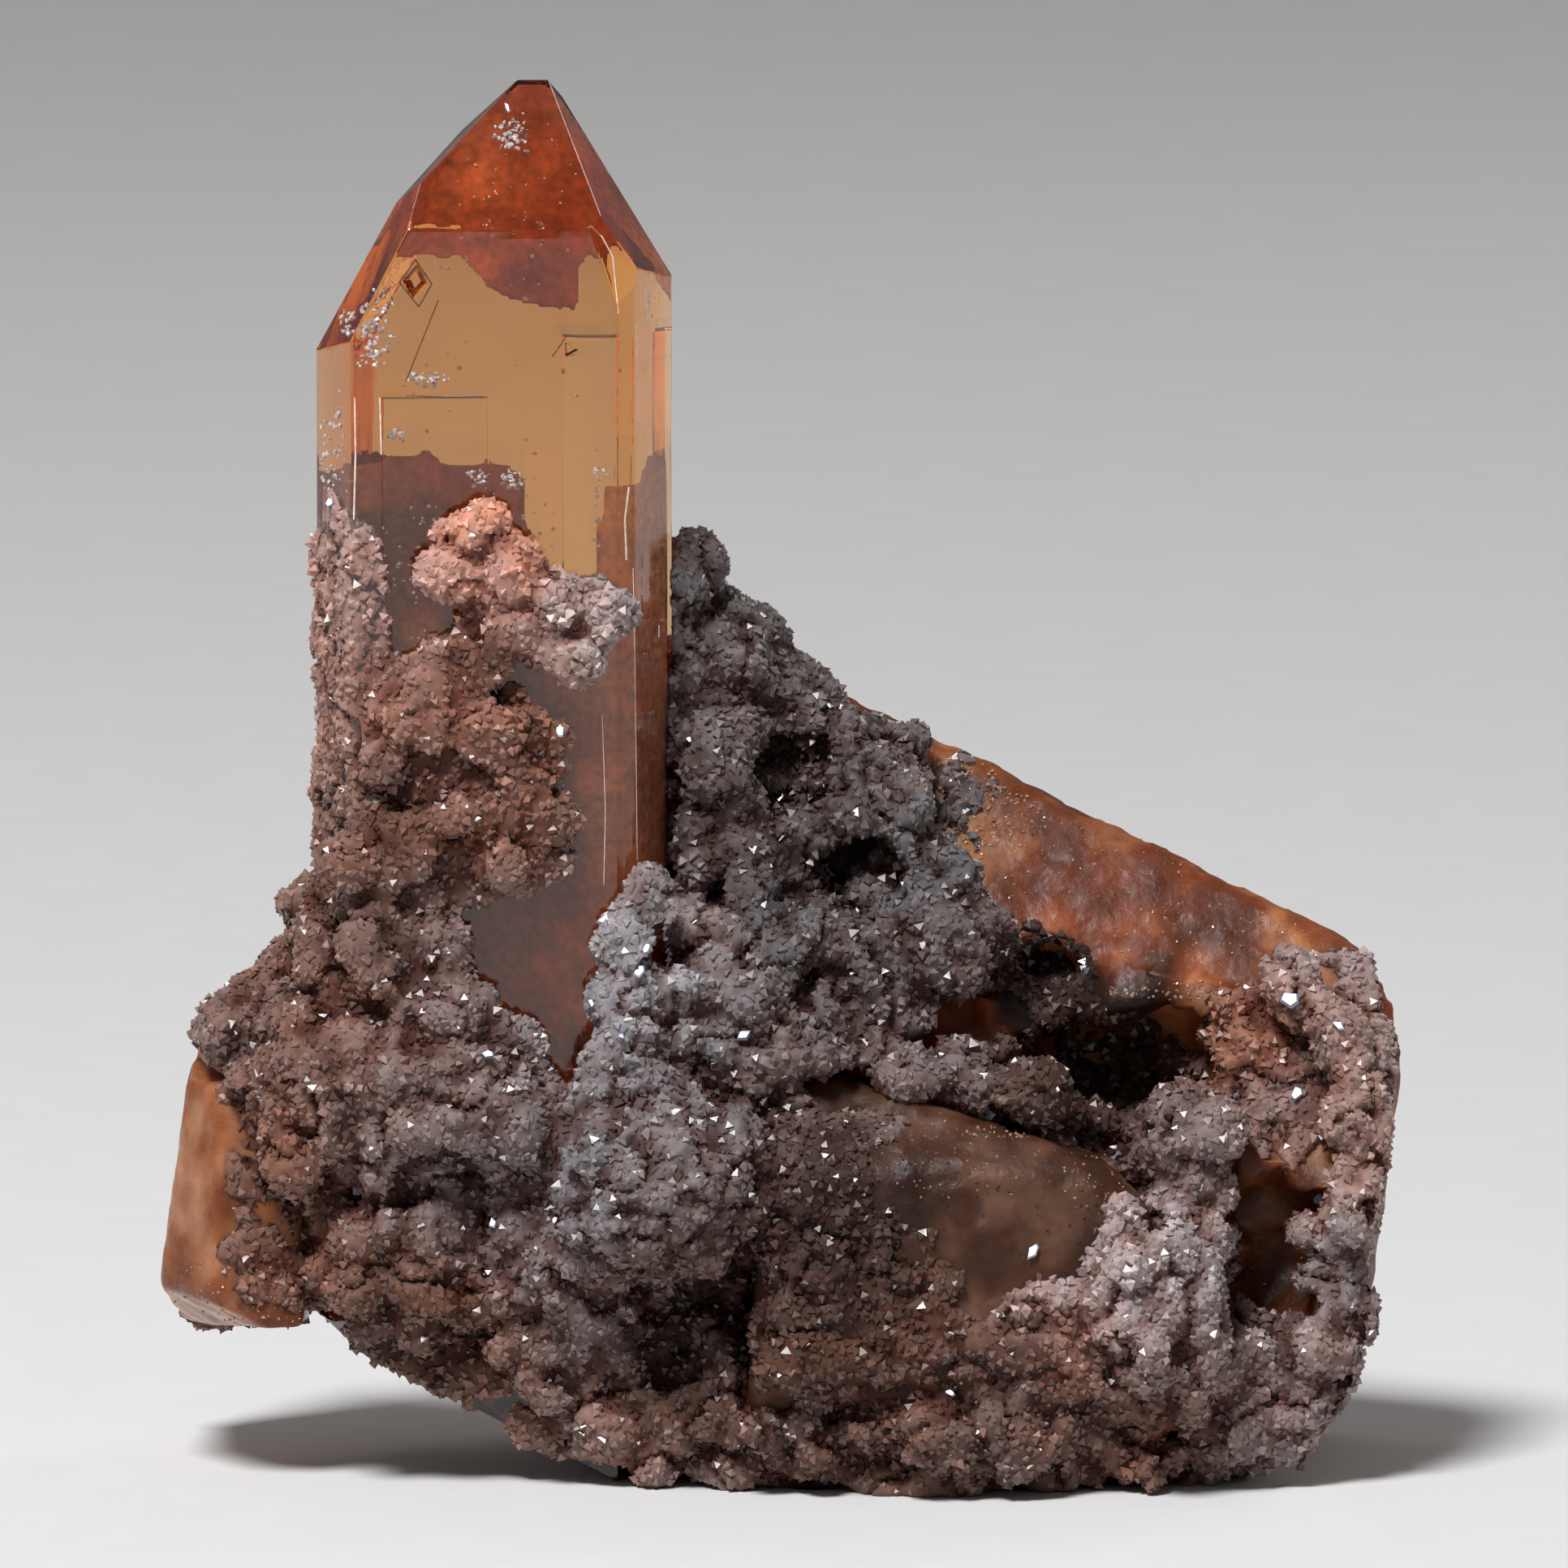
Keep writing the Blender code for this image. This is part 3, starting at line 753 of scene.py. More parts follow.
SIDE_COATS = [
    ((494, 985), (46, 60), 120, (0.20, 0.34)),
    ((402, 990), (14, 50), 60, (0.20, 0.30)),
    ((425, 1110), (40, 30), 80, (0.20, 0.36)),
    ((412, 780), (26, 170), 330, (0.20, 0.30)),
    ((450, 800), (30, 150), 240, (0.20, 0.32)),
    ((430, 990), (45, 110), 300, (0.20, 0.38)),
    ((560, 1690), (80, 40), 160, (0.20, 0.40)),
    ((470, 1650), (60, 20), 70, (0.20, 0.34)),
    ((680, 1770), (90, 30), 120, (0.25, 0.45)),
]


def druse_on_crystals(trees, chance):
    """Spots, directions and sizes of the knobs of all the coats."""
    rows = [(*row, LEAST_FACING) for row in PAINTED_COATS]
    rows += [(*row, LEAST_FACING_AT_SIDES) for row in SIDE_COATS]
    spots = []
    normals = []
    radii = []
    for pixel, reach, count, knob_sizes, least_facing in rows:
        coat_spots, coat_normals = painted_coat(pixel, reach, count, trees, chance, least_facing)
        spots.append(coat_spots)
        normals.append(coat_normals)
        radii.append(chance.uniform(*knob_sizes, len(coat_spots)))
    return np.concatenate(spots), np.concatenate(normals), np.concatenate(radii)


# The coats on the front of the upright crystal are pressed flat: where its front face lies, from which
# height to which the pressing grows, and how much of their thickness is left.
POINT_FRONT = -5.2
POINT_RIGHT = -3.4
PRESS_FROM = 15.0
PRESS_FULL = 18.0
PRESSED_SHARE = 0.5

# The right-hand outline of the crust as pixels, and how much of what sticks out beyond it goes.
RIGHT_OUTLINE = [(1690, 1200), (1722, 1300), (1712, 1400), (1694, 1500), (1686, 1640), (1662, 1710), (1600, 1790)]
TRIMMED_SHARE = 0.85


def pressed_and_trimmed(points):
    points = points.copy()
    thickness = POINT_FRONT - points[:, 1]
    on_point = (thickness > 0) & (points[:, 0] < POINT_RIGHT)
    press = (1 - PRESSED_SHARE) * rise_between(points[:, 2], PRESS_FROM, PRESS_FULL)
    points[:, 1] += np.where(on_point, thickness * press, 0)
    seen = pixel_of(points)
    limit = np.array(RIGHT_OUTLINE, dtype=float)
    beyond = seen[:, 0] - np.interp(seen[:, 1], limit[:, 1], limit[:, 0])
    points[:, 0] -= np.maximum(beyond, 0) / PIXELS_PER_MM * TRIMMED_SHARE
    return points


def make_ground(crystals):
    """The crust itself: its solid with knobs grown out of it, melted into one skin."""
    chance = np.random.default_rng(21)
    points, triangles = node_arrays("quartz_druse")
    trees = [tree_of(points, triangles)] + [tree_of(*crystal) for crystal in crystals]
    spots = []
    normals = []
    radii = []
    rises = []
    for count, knob_sizes, rise in GROUND_KNOBS:
        knob_spots, knob_normals, _ = surface_spots(points, triangles, count, chance)
        spots.append(knob_spots)
        normals.append(knob_normals)
        radii.append(chance.uniform(*knob_sizes, count))
        rises.append(chance.uniform(*rise, count))
    upright, block, _, corner = crystals
    coats = [
        back_coat(*upright, chance),
        back_patches(*block, 5000, chance),
        back_patches(*corner, 1600, chance),
    ]
    for coat_spots, coat_normals, coat_radii in coats:
        spots.append(coat_spots)
        normals.append(coat_normals)
        radii.append(coat_radii)
        rises.append(coat_radii * 0.6)
    coat_spots, coat_normals, coat_radii = druse_on_crystals(trees, chance)
    spots.append(coat_spots)
    normals.append(coat_normals)
    radii.append(coat_radii)
    rises.append(coat_radii * 0.55)
    spots = np.concatenate(spots)
    normals = np.concatenate(normals)
    radii = np.concatenate(radii)
    rises = np.concatenate(rises)
    count = len(spots)
    centres = spots + normals * (rises - radii)[:, None]
    ball_points, ball_triangles = ball(2)
    stretch = chance.uniform(0.75, 1.25, (count, 1, 3))
    knobs = centres[:, None] + ball_points[None] * radii[:, None, None] * stretch
    knob_faces = copies_of(ball_points, ball_triangles, count) + len(points)
    core = points - point_normals(points, triangles) * CORE_DEPTH
    heap = np.concatenate([core, knobs.reshape(-1, 3)])
    skin, quads = remeshed(heap, np.concatenate([triangles, knob_faces]), SKIN_VOXEL)
    directions = point_normals(skin, quads)
    relief = rough_noise(skin, 0.6, 3, seed=41) - 0.5
    cracks = crack_depth(skin)
    skin = skin + directions * (relief * 0.25 - cracks * 0.3)[:, None]
    skin = pressed_and_trimmed(skin)
    skin[:, 2] = np.maximum(skin[:, 2], 0.0)
    return skin, quads


def closed_parts(mesh, parts):
    """A closed skin cut by upright planes into closed parts of about equal size, side by side."""
    points, triangles = mesh_arrays(mesh)
    middles = points[triangles].mean(axis=1)[:, 0]
    cuts = np.quantile(middles, np.arange(1, parts) / parts)
    limits = [None, *cuts.tolist(), None]
    for low, high in zip(limits[:-1], limits[1:]):
        shape = bmesh.new()
        shape.from_mesh(mesh)
        for place, direction in ((low, -1.0), (high, 1.0)):
            if place is not None:
                cut_off(shape, place, direction)
        part = mesh.copy()
        shape.to_mesh(part)
        shape.free()
        part.shade_smooth()
        part.set_sharp_from_angle(angle=math.radians(75))
        yield part


def cut_off(shape, place, direction):
    """Takes away what lies beyond an upright plane and closes the cut."""
    bmesh.ops.bisect_plane(
        shape,
        geom=shape.verts[:] + shape.edges[:] + shape.faces[:],
        plane_co=(place, 0, 0),
        plane_no=(direction, 0, 0),
        dist=1e-8,
        clear_outer=True,
    )
    rim = [edge for edge in shape.edges if edge.is_boundary]
    bmesh.ops.triangle_fill(shape, edges=rim, use_beauty=True, normal=(direction, 0, 0))
    bmesh.ops.recalc_face_normals(shape, faces=shape.faces[:])


# Where the druse is pink-brown and where it is grey, pale or dark: pixel across, pixel down, reach,
# pinkness and tone. The tone is partly the druse's own paleness and partly painted shade, dark in the
# hollows, in the gaps between the crystals and where one part shades another.
TINT_SPOTS = [
    ((430, 660), 110, 0.65, 1.00),
    ((430, 860), 130, 0.70, 0.85),
    ((488, 980), 42, 1.00, 0.06),
    ((640, 960), 110, 1.00, 0.62),
    ((590, 680), 70, 1.00, 1.60),
    ((720, 780), 70, 0.20, 1.20),
    ((600, 800), 34, 1.00, 0.25),
    ((420, 1180), 150, 0.70, 0.50),
    ((520, 1350), 120, 0.35, 0.65),
    ((590, 1440), 70, 0.30, 0.30),
    ((330, 1500), 110, 0.90, 0.50),
    ((770, 1200), 90, 0.00, 0.90),
    ((820, 1420), 130, 0.10, 0.60),
    ((850, 1600), 90, 0.70, 0.20),
    ((700, 1580), 80, 0.30, 0.55),
    ((900, 850), 130, 0.15, 0.38),
    ((1080, 1120), 150, 0.15, 0.36),
    ((960, 1000), 90, 0.30, 0.20),
    ((1150, 1320), 90, 0.30, 0.50),
    ((1000, 1500), 100, 0.95, 0.06),
    ((1060, 1660), 120, 0.90, 0.25),
    ((1380, 1580), 90, 0.20, 1.10),
    ((1450, 1400), 60, 0.15, 0.70),
    ((1350, 1310), 100, 1.00, 0.10),
    ((1290, 1195), 60, 1.00, 0.03),
    ((1550, 1275), 55, 1.00, 0.75),
    ((1300, 1790), 140, 0.85, 0.40),
    ((1150, 1770), 90, 0.60, 0.50),
    ((1600, 1700), 110, 0.35, 0.70),
    ((1680, 1330), 110, 0.50, 0.85),
    ((1590, 1380), 50, 0.60, 0.70),
    ((500, 1670), 80, 1.00, 0.30),
    ((640, 1740), 80, 0.80, 0.60),
]


def zoned(points):
    """How pink and how pale the druse is at each point; the paleness carries painted shade in the hollows."""
    seen = pixel_of(points)
    weights = np.full(len(points), 0.02)
    pinks = weights * 0.45
    tones = weights * 0.8
    for centre, reach, pink, tone in TINT_SPOTS:
        away = np.sum((seen - np.array(centre)) ** 2, axis=1) / reach**2
        weight = np.exp(-away)
        weights = weights + weight
        pinks = pinks + weight * pink
        tones = tones + weight * tone
    return pinks / weights, tones / weights


def druse_tints(points, open_share, crest):
    """The colour of the druse at each point: painted light on crests, reddish-brown painted shade between them.
    """
    pink, tone = zoned(points)
    pink = pink + (rough_noise(points, 2.2, 3, 51) - 0.5) * 0.7
    pink = np.clip(pink, 0, 1)[:, None]
    colour = GREY_DRUSE * (1 - pink) + PINK_DRUSE * pink
    behind = behind_point(points)[:, None]
    colour = colour * (1 - behind) + RUSTY_DRUSE * behind
    # Painted light and shade: crests are painted lighter, and spots that see little sky, in crevices and
    # cavities, darker.
    height = rise_between(crest + (rough_noise(points, 0.7, 2, 55) - 0.5) * 0.10, -0.10, 0.14)
    shade = (0.16 + 0.84 * rise_between(open_share, 0.05, 0.9)) * (0.35 + 1.0 * height)
    shade = shade * (1 - behind[:, 0]) + 0.9 * behind[:, 0]
    tone = tone * (0.75 + 0.5 * rough_noise(points, 1.1, 2, 57))
    return colour * shade[:, None] ** WARM_SHADE * tone[:, None]


def behind_point(points):
    """1 where druse lies on the back of the upright crystal, so that it shows through it."""
    low, high = (np.array(corner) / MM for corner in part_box("upright_topaz"))
    inside_x = rise_between(points[:, 0], low[0] + 0.3, low[0] + 1.0)
    inside_x = inside_x * (1 - rise_between(points[:, 0], high[0] - 1.0, high[0] - 0.3))
    back = rise_between(points[:, 1], -2.2, -1.2) * (1 - rise_between(points[:, 1], 2.3, 3.0))
    return inside_x * back * rise_between(points[:, 2], 3.0, 5.0)


def grain_shapes(spots, axes, radii, lengths, chance, sides=6):
    """Double-ended points with flat sides, one at each spot, as points and triangles."""
    count = len(spots)
    helper = unit(chance.normal(size=(count, 3)))
    side = unit(np.cross(axes, helper))
    other = np.cross(axes, side)
    turns = np.arange(sides) * math.tau / sides
    reach = chance.uniform(0.8, 1.2, (count, sides, 1)) * radii[:, None, None]
    ring = np.cos(turns)[None, :, None] * side[:, None] + np.sin(turns)[None, :, None] * other[:, None]
    ring = spots[:, None] + ring * reach
    lean = side * (chance.uniform(-0.45, 0.45, count) * radii)[:, None]
    top = spots + axes * (lengths * 0.55)[:, None] + lean
    foot = spots - axes * (lengths * 0.45)[:, None]
    points = np.concatenate([ring, top[:, None], foot[:, None]], axis=1)
    upper = [(corner, (corner + 1) % sides, sides) for corner in range(sides)]
    lower = [((corner + 1) % sides, corner, sides + 1) for corner in range(sides)]
    faces = np.array(upper + lower)
    return points.reshape(-1, 3), copies_of(points[0], faces, count)


GRAINS_PER_PIECE = 20000
GRAIN_SIDES = 4


def sow_grains(name, spots, axes, sizes, lengths, tints, finish, chance):
    """Joined grains on the given spots, in as many pieces as their number needs."""
    parts = max(1, math.ceil(len(spots) / GRAINS_PER_PIECE))
    order = np.argsort(spots[:, 0])
    for number, part in enumerate(np.array_split(order, parts)):
        points, faces = grain_shapes(
            spots[part], axes[part], sizes[part], lengths[part], chance, GRAIN_SIDES
        )
        points[:, 2] = np.maximum(points[:, 2], 0.0)
        new_piece(
            f"{name}_{number + 1}" if parts > 1 else name,
            points,
            faces,
            finish,
            tints=np.repeat(tints[part], GRAIN_SIDES + 2, axis=0),
        )


# Veils inside the upright crystal. Each is a thin wavy sheet: the line along its lower or upper edge in
# pixels, how far it reaches from that line, and from where to where it lies between front and back.
# The sheets are partly painted shade: the tip one stands for dark inner reflections near the tip, the
# root one for the shaded druse on the back seen through the crystal.
TIP_VEIL_EDGE = [
    (470, 306),
    (560, 312),
    (585, 338),
    (620, 362),
    (714, 384),
    (722, 310),
    (760, 335),
    (830, 380),
]
ROOT_VEIL_EDGE = [
    (385, 590),
    (440, 570),
    (475, 545),
    (530, 540),
    (560, 560),
    (650, 575),
    (664, 690),
    (722, 700),
    (735, 600),
    (765, 590),
    (786, 540),
    (830, 545),
]

# Tones of the veils, partly painted shade and inner reflection: pixel across and down, reach, and the colour.
VEIL_BROWN = (0.46, 0.15, 0.055)
VEIL_RED = (0.68, 0.21, 0.085)
VEIL_PINK = (0.94, 0.46, 0.28)
VEIL_AMBER = (0.88, 0.42, 0.12)
VEIL_DEEP = (0.58, 0.16, 0.05)
VEIL_AND_PAINTED_SHADE_TONES = [
    ((620, 220), 70, VEIL_PINK),
    ((560, 270), 45, VEIL_PINK),
    ((650, 140), 40, VEIL_RED),
    ((700, 150), 30, VEIL_PINK),
    ((685, 290), 45, VEIL_BROWN),
    ((690, 350), 45, VEIL_BROWN),
    ((640, 345), 25, VEIL_BROWN),
    ((760, 320), 40, VEIL_PINK),
    ((515, 600), 60, VEIL_BROWN),
    ((510, 720), 60, VEIL_BROWN),
    ((520, 800), 40, VEIL_AMBER),
    ((620, 600), 40, VEIL_BROWN),
    ((600, 800), 45, VEIL_DEEP),
    ((430, 700), 50, VEIL_PINK),
    ((800, 650), 40, VEIL_AMBER),
    ((800, 850), 70, VEIL_PINK),
    ((700, 930), 50, VEIL_DEEP),
    ((600, 960), 90, VEIL_RED),
    ((790, 1050), 60, VEIL_PINK),
    ((660, 1120), 90, VEIL_DEEP),
    ((450, 950), 90, VEIL_RED),
    ((600, 1660), 160, VEIL_DEEP),
]


def edge_height(across, edge):
    """How far down a veil's edge lies at each pixel across."""
    places = np.array(edge, dtype=float)
    order = np.argsort(places[:, 0])
    return np.interp(across, places[order, 0], places[order, 1])


def veil_and_painted_shade_tints(points):
    seen = pixel_of(points)
    weights = np.full((len(points), 1), 0.01)
    total = weights * np.array(VEIL_RED)
    for centre, reach, colour in VEIL_AND_PAINTED_SHADE_TONES:
        away = np.sum((seen - np.array(centre)) ** 2, axis=1) / reach**2
        weight = np.exp(-away)[:, None]
        weights = weights + weight
        total = total + weight * np.array(colour)
    tone = 0.7 + 0.6 * rough_noise(points, 1.2, 4, 121)
    return total / weights * tone[:, None]


VEIL_TEAR = 14  # cells of a veil longer than this many steps are left out
VEIL_THICKNESS = 0.05


def make_veil(name, tree, columns, rows, step, keeps, ragged, depths, finish):
    """A thin wavy sheet inside the upright crystal, over the pixels that keeps() accepts."""
    across, down = np.meshgrid(np.arange(*columns, step), np.arange(*rows, step), indexing="ij")
    spread = np.column_stack([across.ravel(), down.ravel(), np.zeros(across.size)]) / PIXELS_PER_MM
    torn = (rough_noise(spread, 1.1, 4, 131) - 0.5) * ragged
    shares = depths[0] + (depths[1] - depths[0]) * rough_noise(spread, 3.0, 3, 137)
    kept = keeps(across.ravel(), down.ravel() + torn).reshape(across.shape)
    shares = shares.reshape(across.shape)
    shape = bmesh.new()
    corners = {}
    for spot in np.argwhere(kept):
        spot = tuple(spot)
        place = within((across[spot], down[spot]), tree, shares[spot])
        if place is not None:
            corners[spot] = shape.verts.new(place)
    for (column, row), first in corners.items():
        others = [(column, row + 1), (column + 1, row + 1), (column + 1, row)]
        ring = [first] + [corners.get(other) for other in others]
        if all(corner is not None for corner in ring):
            reach = max((ring[i].co - ring[i - 1].co).length for i in range(4))
            if reach < VEIL_TEAR * step / PIXELS_PER_MM:
                shape.faces.new(ring)
    loose = [vertex for vertex in shape.verts if not vertex.link_faces]
    bmesh.ops.delete(shape, geom=loose, context="VERTS")
    for _ in range(3):
        bmesh.ops.smooth_vert(
            shape, verts=shape.verts[:], factor=0.5, use_axis_x=True, use_axis_y=True, use_axis_z=True
        )
    bmesh.ops.recalc_face_normals(shape, faces=shape.faces[:])
    bmesh.ops.solidify(shape, geom=shape.faces[:], thickness=VEIL_THICKNESS)
    bmesh.ops.recalc_face_normals(shape, faces=shape.faces[:])
    points, triangles, _ = bmesh_arrays(shape)
    shape.free()
    new_piece(name, points, triangles, finish, True, tints=veil_and_painted_shade_tints(points))


def veil_finish():
    """Fine inclusions too small to tell apart, which let about half of the light through, their colour partly
    painted shade.
    """
    finish, tree, surface = new_finish("reddish_veil_and_painted_shade")
    mottle = noise_node(tree, 0.3, 5.0)
    tone = spread_over(tree, mottle, 0.3, 0.7, 0.7, 1.25)
    tree.links.new(painted(tree, tone), surface.inputs["Base Color"])
    surface.inputs["IOR"].default_value = 1.02
    surface.inputs["Roughness"].default_value = 0.6
    surface.inputs["Transmission Weight"].default_value = 0.35
    return finish


# Bright healed spots and tiny faces that catch the light inside it, their pale colour partly painted
# glints: pixel in the middle, reach across and down, count, and from where to where they lie between the
# front and the back.
SPARKS = [
    ((528, 468), (28, 8), 22, (0.01, 0.06)),
    ((588, 587), (16, 12), 14, (0.02, 0.2)),
    ((632, 590), (16, 14), 18, (0.02, 0.2)),
    ((490, 535), (14, 8), 10, (0.01, 0.1)),
    ((630, 165), (22, 16), 30, (0.005, 0.03)),
    ((640, 250), (80, 120), 30, (0.02, 0.4)),
    ((600, 480), (110, 90), 16, (0.1, 0.8)),
    ((620, 960), (90, 110), 50, (0.01, 0.1)),
    ((465, 400), (30, 45), 40, (0.003, 0.03)),
    ((430, 390), (12, 20), 14, (0.003, 0.03)),
    ((415, 560), (22, 80), 40, (0.003, 0.05)),
    ((560, 320), (30, 30), 14, (0.01, 0.1)),
    ((520, 700), (60, 90), 40, (0.01, 0.1)),
    ((640, 640), (60, 60), 30, (0.01, 0.1)),
    ((800, 370), (6, 26), 10, (0.003, 0.03)),
    ((735, 620), (6, 70), 14, (0.01, 0.05)),
]


def make_inclusions(crystal, veil, sparkling, chance):
    """What shows inside the upright crystal."""
    tree = tree_of(*crystal)
    # Both sheets are partly painted shade: dark inner reflections at the tip, shaded druse behind at the root.
    make_veil(
        "topaz_point_tip_veil_and_painted_shade",
        tree,
        (400, 830),
        (104, 400),
        5,
        lambda column, row: row < edge_height(column, TIP_VEIL_EDGE),
        26,
        (0.35, 0.6),
        veil,
    )
    make_veil(
        "topaz_point_root_veil_and_painted_shade",
        tree,
        (380, 835),
        (530, 1780),
        9,
        lambda column, row: row > edge_height(column, ROOT_VEIL_EDGE),
        50,
        (0.05, 0.4),
        veil,
    )
    spots = []
    for centre, reach, count, depths in SPARKS:
        for pixel in spots_in_oval(centre, reach, count, chance):
            place = within(pixel, tree, chance.uniform(*depths))
            if place is not None:
                spots.append(place)
    radii = chance.uniform(0.03, 0.09, len(spots))
    add_loose_grains("topaz_point_sparks", np.array(spots), radii, sparkling, chance, 6)


def add_loose_grains(name, spots, radii, finish, chance, sides):
    axes = unit(chance.normal(size=(len(spots), 3)))
    lengths = radii * chance.uniform(1.0, 2.0, len(radii))
    points, faces = grain_shapes(spots, axes, radii, lengths, chance, sides)
    new_piece(name, points, faces, finish)


# Flecks on the faces of the other crystals: pixel, reach, count and sizes.
# Pale flecks are partly real pale grains and partly painted highlights on the faces.
PALE_FLECKS = [
    ((1180, 960), (50, 30), 120, (0.03, 0.10)),
    ((1230, 1010), (60, 40), 120, (0.03, 0.09)),
    ((1330, 1060), (140, 50), 120, (0.02, 0.07)),
    ((1500, 1150), (150, 40), 120, (0.02, 0.07)),
    ((1450, 1220), (90, 12), 90, (0.03, 0.08)),
    ((1230, 1130), (30, 60), 40, (0.02, 0.07)),
    ((290, 1590), (80, 40), 90, (0.02, 0.07)),
    ((400, 1600), (80, 40), 90, (0.02, 0.07)),
    ((1560, 1560), (90, 90), 60, (0.02, 0.06)),
    ((640, 1660), (100, 40), 90, (0.02, 0.07)),
    ((1180, 1420), (160, 60), 120, (0.02, 0.06)),
    ((1360, 1460), (50, 40), 60, (0.02, 0.06)),
    ((1230, 1395), (60, 8), 40, (0.03, 0.09)),
]
DARK_FLECKS = [
    ((1370, 1500), (60, 60), 30, (0.04, 0.09)),
    ((1180, 1500), (120, 80), 40, (0.02, 0.07)),
    ((1060, 1430), (80, 40), 30, (0.02, 0.07)),
    ((1150, 1450), (80, 40), 20, (0.03, 0.08)),
]


def make_surface_flecks(name, rows, finish, trees, chance):
    spots = []
    radii = []
    for pixel, reach, count, sizes in rows:
        for spot in spots_in_oval(pixel, reach, count, chance):
            hit = first_hit(spot, trees)
            if hit is not None:
                spots.append(hit[0])
                radii.append(chance.uniform(*sizes))
    add_loose_grains(name, np.array(spots), np.array(radii), finish, chance, 6)


# Clusters of tiny pale crystals on the faces of the upright crystal, their pale colour partly painted glints.
POINT_FLECKS = [
    ((630, 165), (22, 20), 50, (0.04, 0.11)),
    ((465, 400), (26, 40), 44, (0.05, 0.12)),
    ((430, 395), (10, 18), 16, (0.05, 0.12)),
    ((455, 442), (22, 12), 20, (0.05, 0.10)),
    ((410, 560), (16, 60), 50, (0.04, 0.12)),
    ((528, 466), (28, 7), 26, (0.03, 0.09)),
    ((588, 587), (12, 10), 16, (0.04, 0.10)),
    ((632, 590), (14, 12), 22, (0.04, 0.11)),
    ((490, 535), (10, 6), 12, (0.04, 0.09)),
    ((690, 720), (30, 12), 20, (0.03, 0.09)),
    ((560, 730), (60, 60), 40, (0.02, 0.07)),
    ((740, 580), (14, 8), 10, (0.04, 0.09)),
    ((640, 220), (70, 90), 30, (0.02, 0.05)),
]

# Fine lines on the upright crystal: pixels along the line and its width in millimetres. The pale ones
# are partly pale lines and partly painted highlights along the crystal's edges.
PALE_LINES_AND_HIGHLIGHTS = [
    ([(795, 350), (798, 395)], 0.12),
    ([(784, 400), (785, 460), (786, 520)], 0.12),
    ([(808, 470), (808, 530)], 0.07),
    ([(727, 278), (742, 292), (755, 316), (762, 386)], 0.05),
    ([(775, 600), (770, 640), (772, 690)], 0.09),
    ([(812, 770), (812, 785)], 0.12),
    ([(474, 760), (482, 800), (494, 850), (510, 890)], 0.06),
    ([(780, 700), (783, 880), (785, 1060)], 0.03),
    ([(742, 880), (746, 1000), (744, 1090)], 0.025),
    ([(437, 490), (438, 560), (436, 640)], 0.05),
    ([(468, 490), (470, 560)], 0.05),
]
DARK_LINES = [
    ([(540, 370), (522, 415), (500, 470)], 0.04),
    ([(500, 487), (550, 489), (595, 488)], 0.05),
    ([(492, 348), (512, 320), (532, 350), (516, 378), (492, 348)], 0.05),
    ([(680, 440), (700, 412), (722, 416)], 0.04),
]
LINE_STEP = 12
LINE_RISE = 0.015


def make_lines(name, rows, finish, tree):
    """Fine ridges that follow a surface under a line of pixels."""
    points = []
    faces = []
    for places, width in rows:
        for start, end in zip(places[:-1], places[1:]):
            start = np.array(start, dtype=float)
            end = np.array(end, dtype=float)
            steps = max(2, round(np.linalg.norm(end - start) / LINE_STEP))
            hits = [first_hit(start + (end - start) * share, [tree]) for share in np.linspace(0, 1, steps)]
            hits = [hit for hit in hits if hit is not None]
            if len(hits) < 2:
                continue
            along = unit(hits[-1][0] - hits[0][0])
            first = len(points)
            for place, normal, _, _ in hits:
                side = unit(np.cross(normal, along)) * width / 2
                points += [place + side, place + normal * LINE_RISE, place - side, place - normal * LINE_RISE]
            for step in range(len(hits) - 1):
                low = first + step * 4
                for corner in range(4):
                    after = (corner + 1) % 4
                    faces.append([low + corner, low + after, low + 4 + after, low + 4 + corner])
            faces.append([first + 3, first + 2, first + 1, first])
            last = first + (len(hits) - 1) * 4
            faces.append([last, last + 1, last + 2, last + 3])
    new_piece(name, np.array(points), faces, finish)


# Pale bluish grey: the quartz's colour with a painted tint of the cool key light these faces mirror.
FACE_WITH_PAINTED_GLINT = np.array([0.30, 0.33, 0.42])
MIRROR_SIZE = 0.62  # the given sizes are of the whole glint, and the flat face is this share of it

# Bright crystal faces that mirror the key light: pixel, how wide and how tall the face is.
MIRRORS = [
    ((785, 1195), 0.42, 0.60),
    ((795, 1170), 0.30, 0.45),
    ((765, 1277), 0.25, 0.30),
    ((920, 1272), 0.75, 0.45),
    ((610, 1508), 0.35, 0.50),
    ((688, 1503), 0.22, 0.30),
    ((1220, 1370), 0.50, 0.50),
    ((1590, 1228), 0.80, 0.75),
    ((1597, 1350), 0.50, 0.65),
    ((1650, 1265), 0.35, 0.60),
    ((1272, 1543), 0.40, 0.75),
    ((1627, 1477), 0.45, 0.45),
    ((1170, 1715), 0.45, 0.30),
    ((600, 1298), 0.50, 0.35),
    ((690, 900), 0.35, 0.60),
    ((410, 620), 0.40, 0.30),
    ((625, 135), 0.15, 0.55),
]


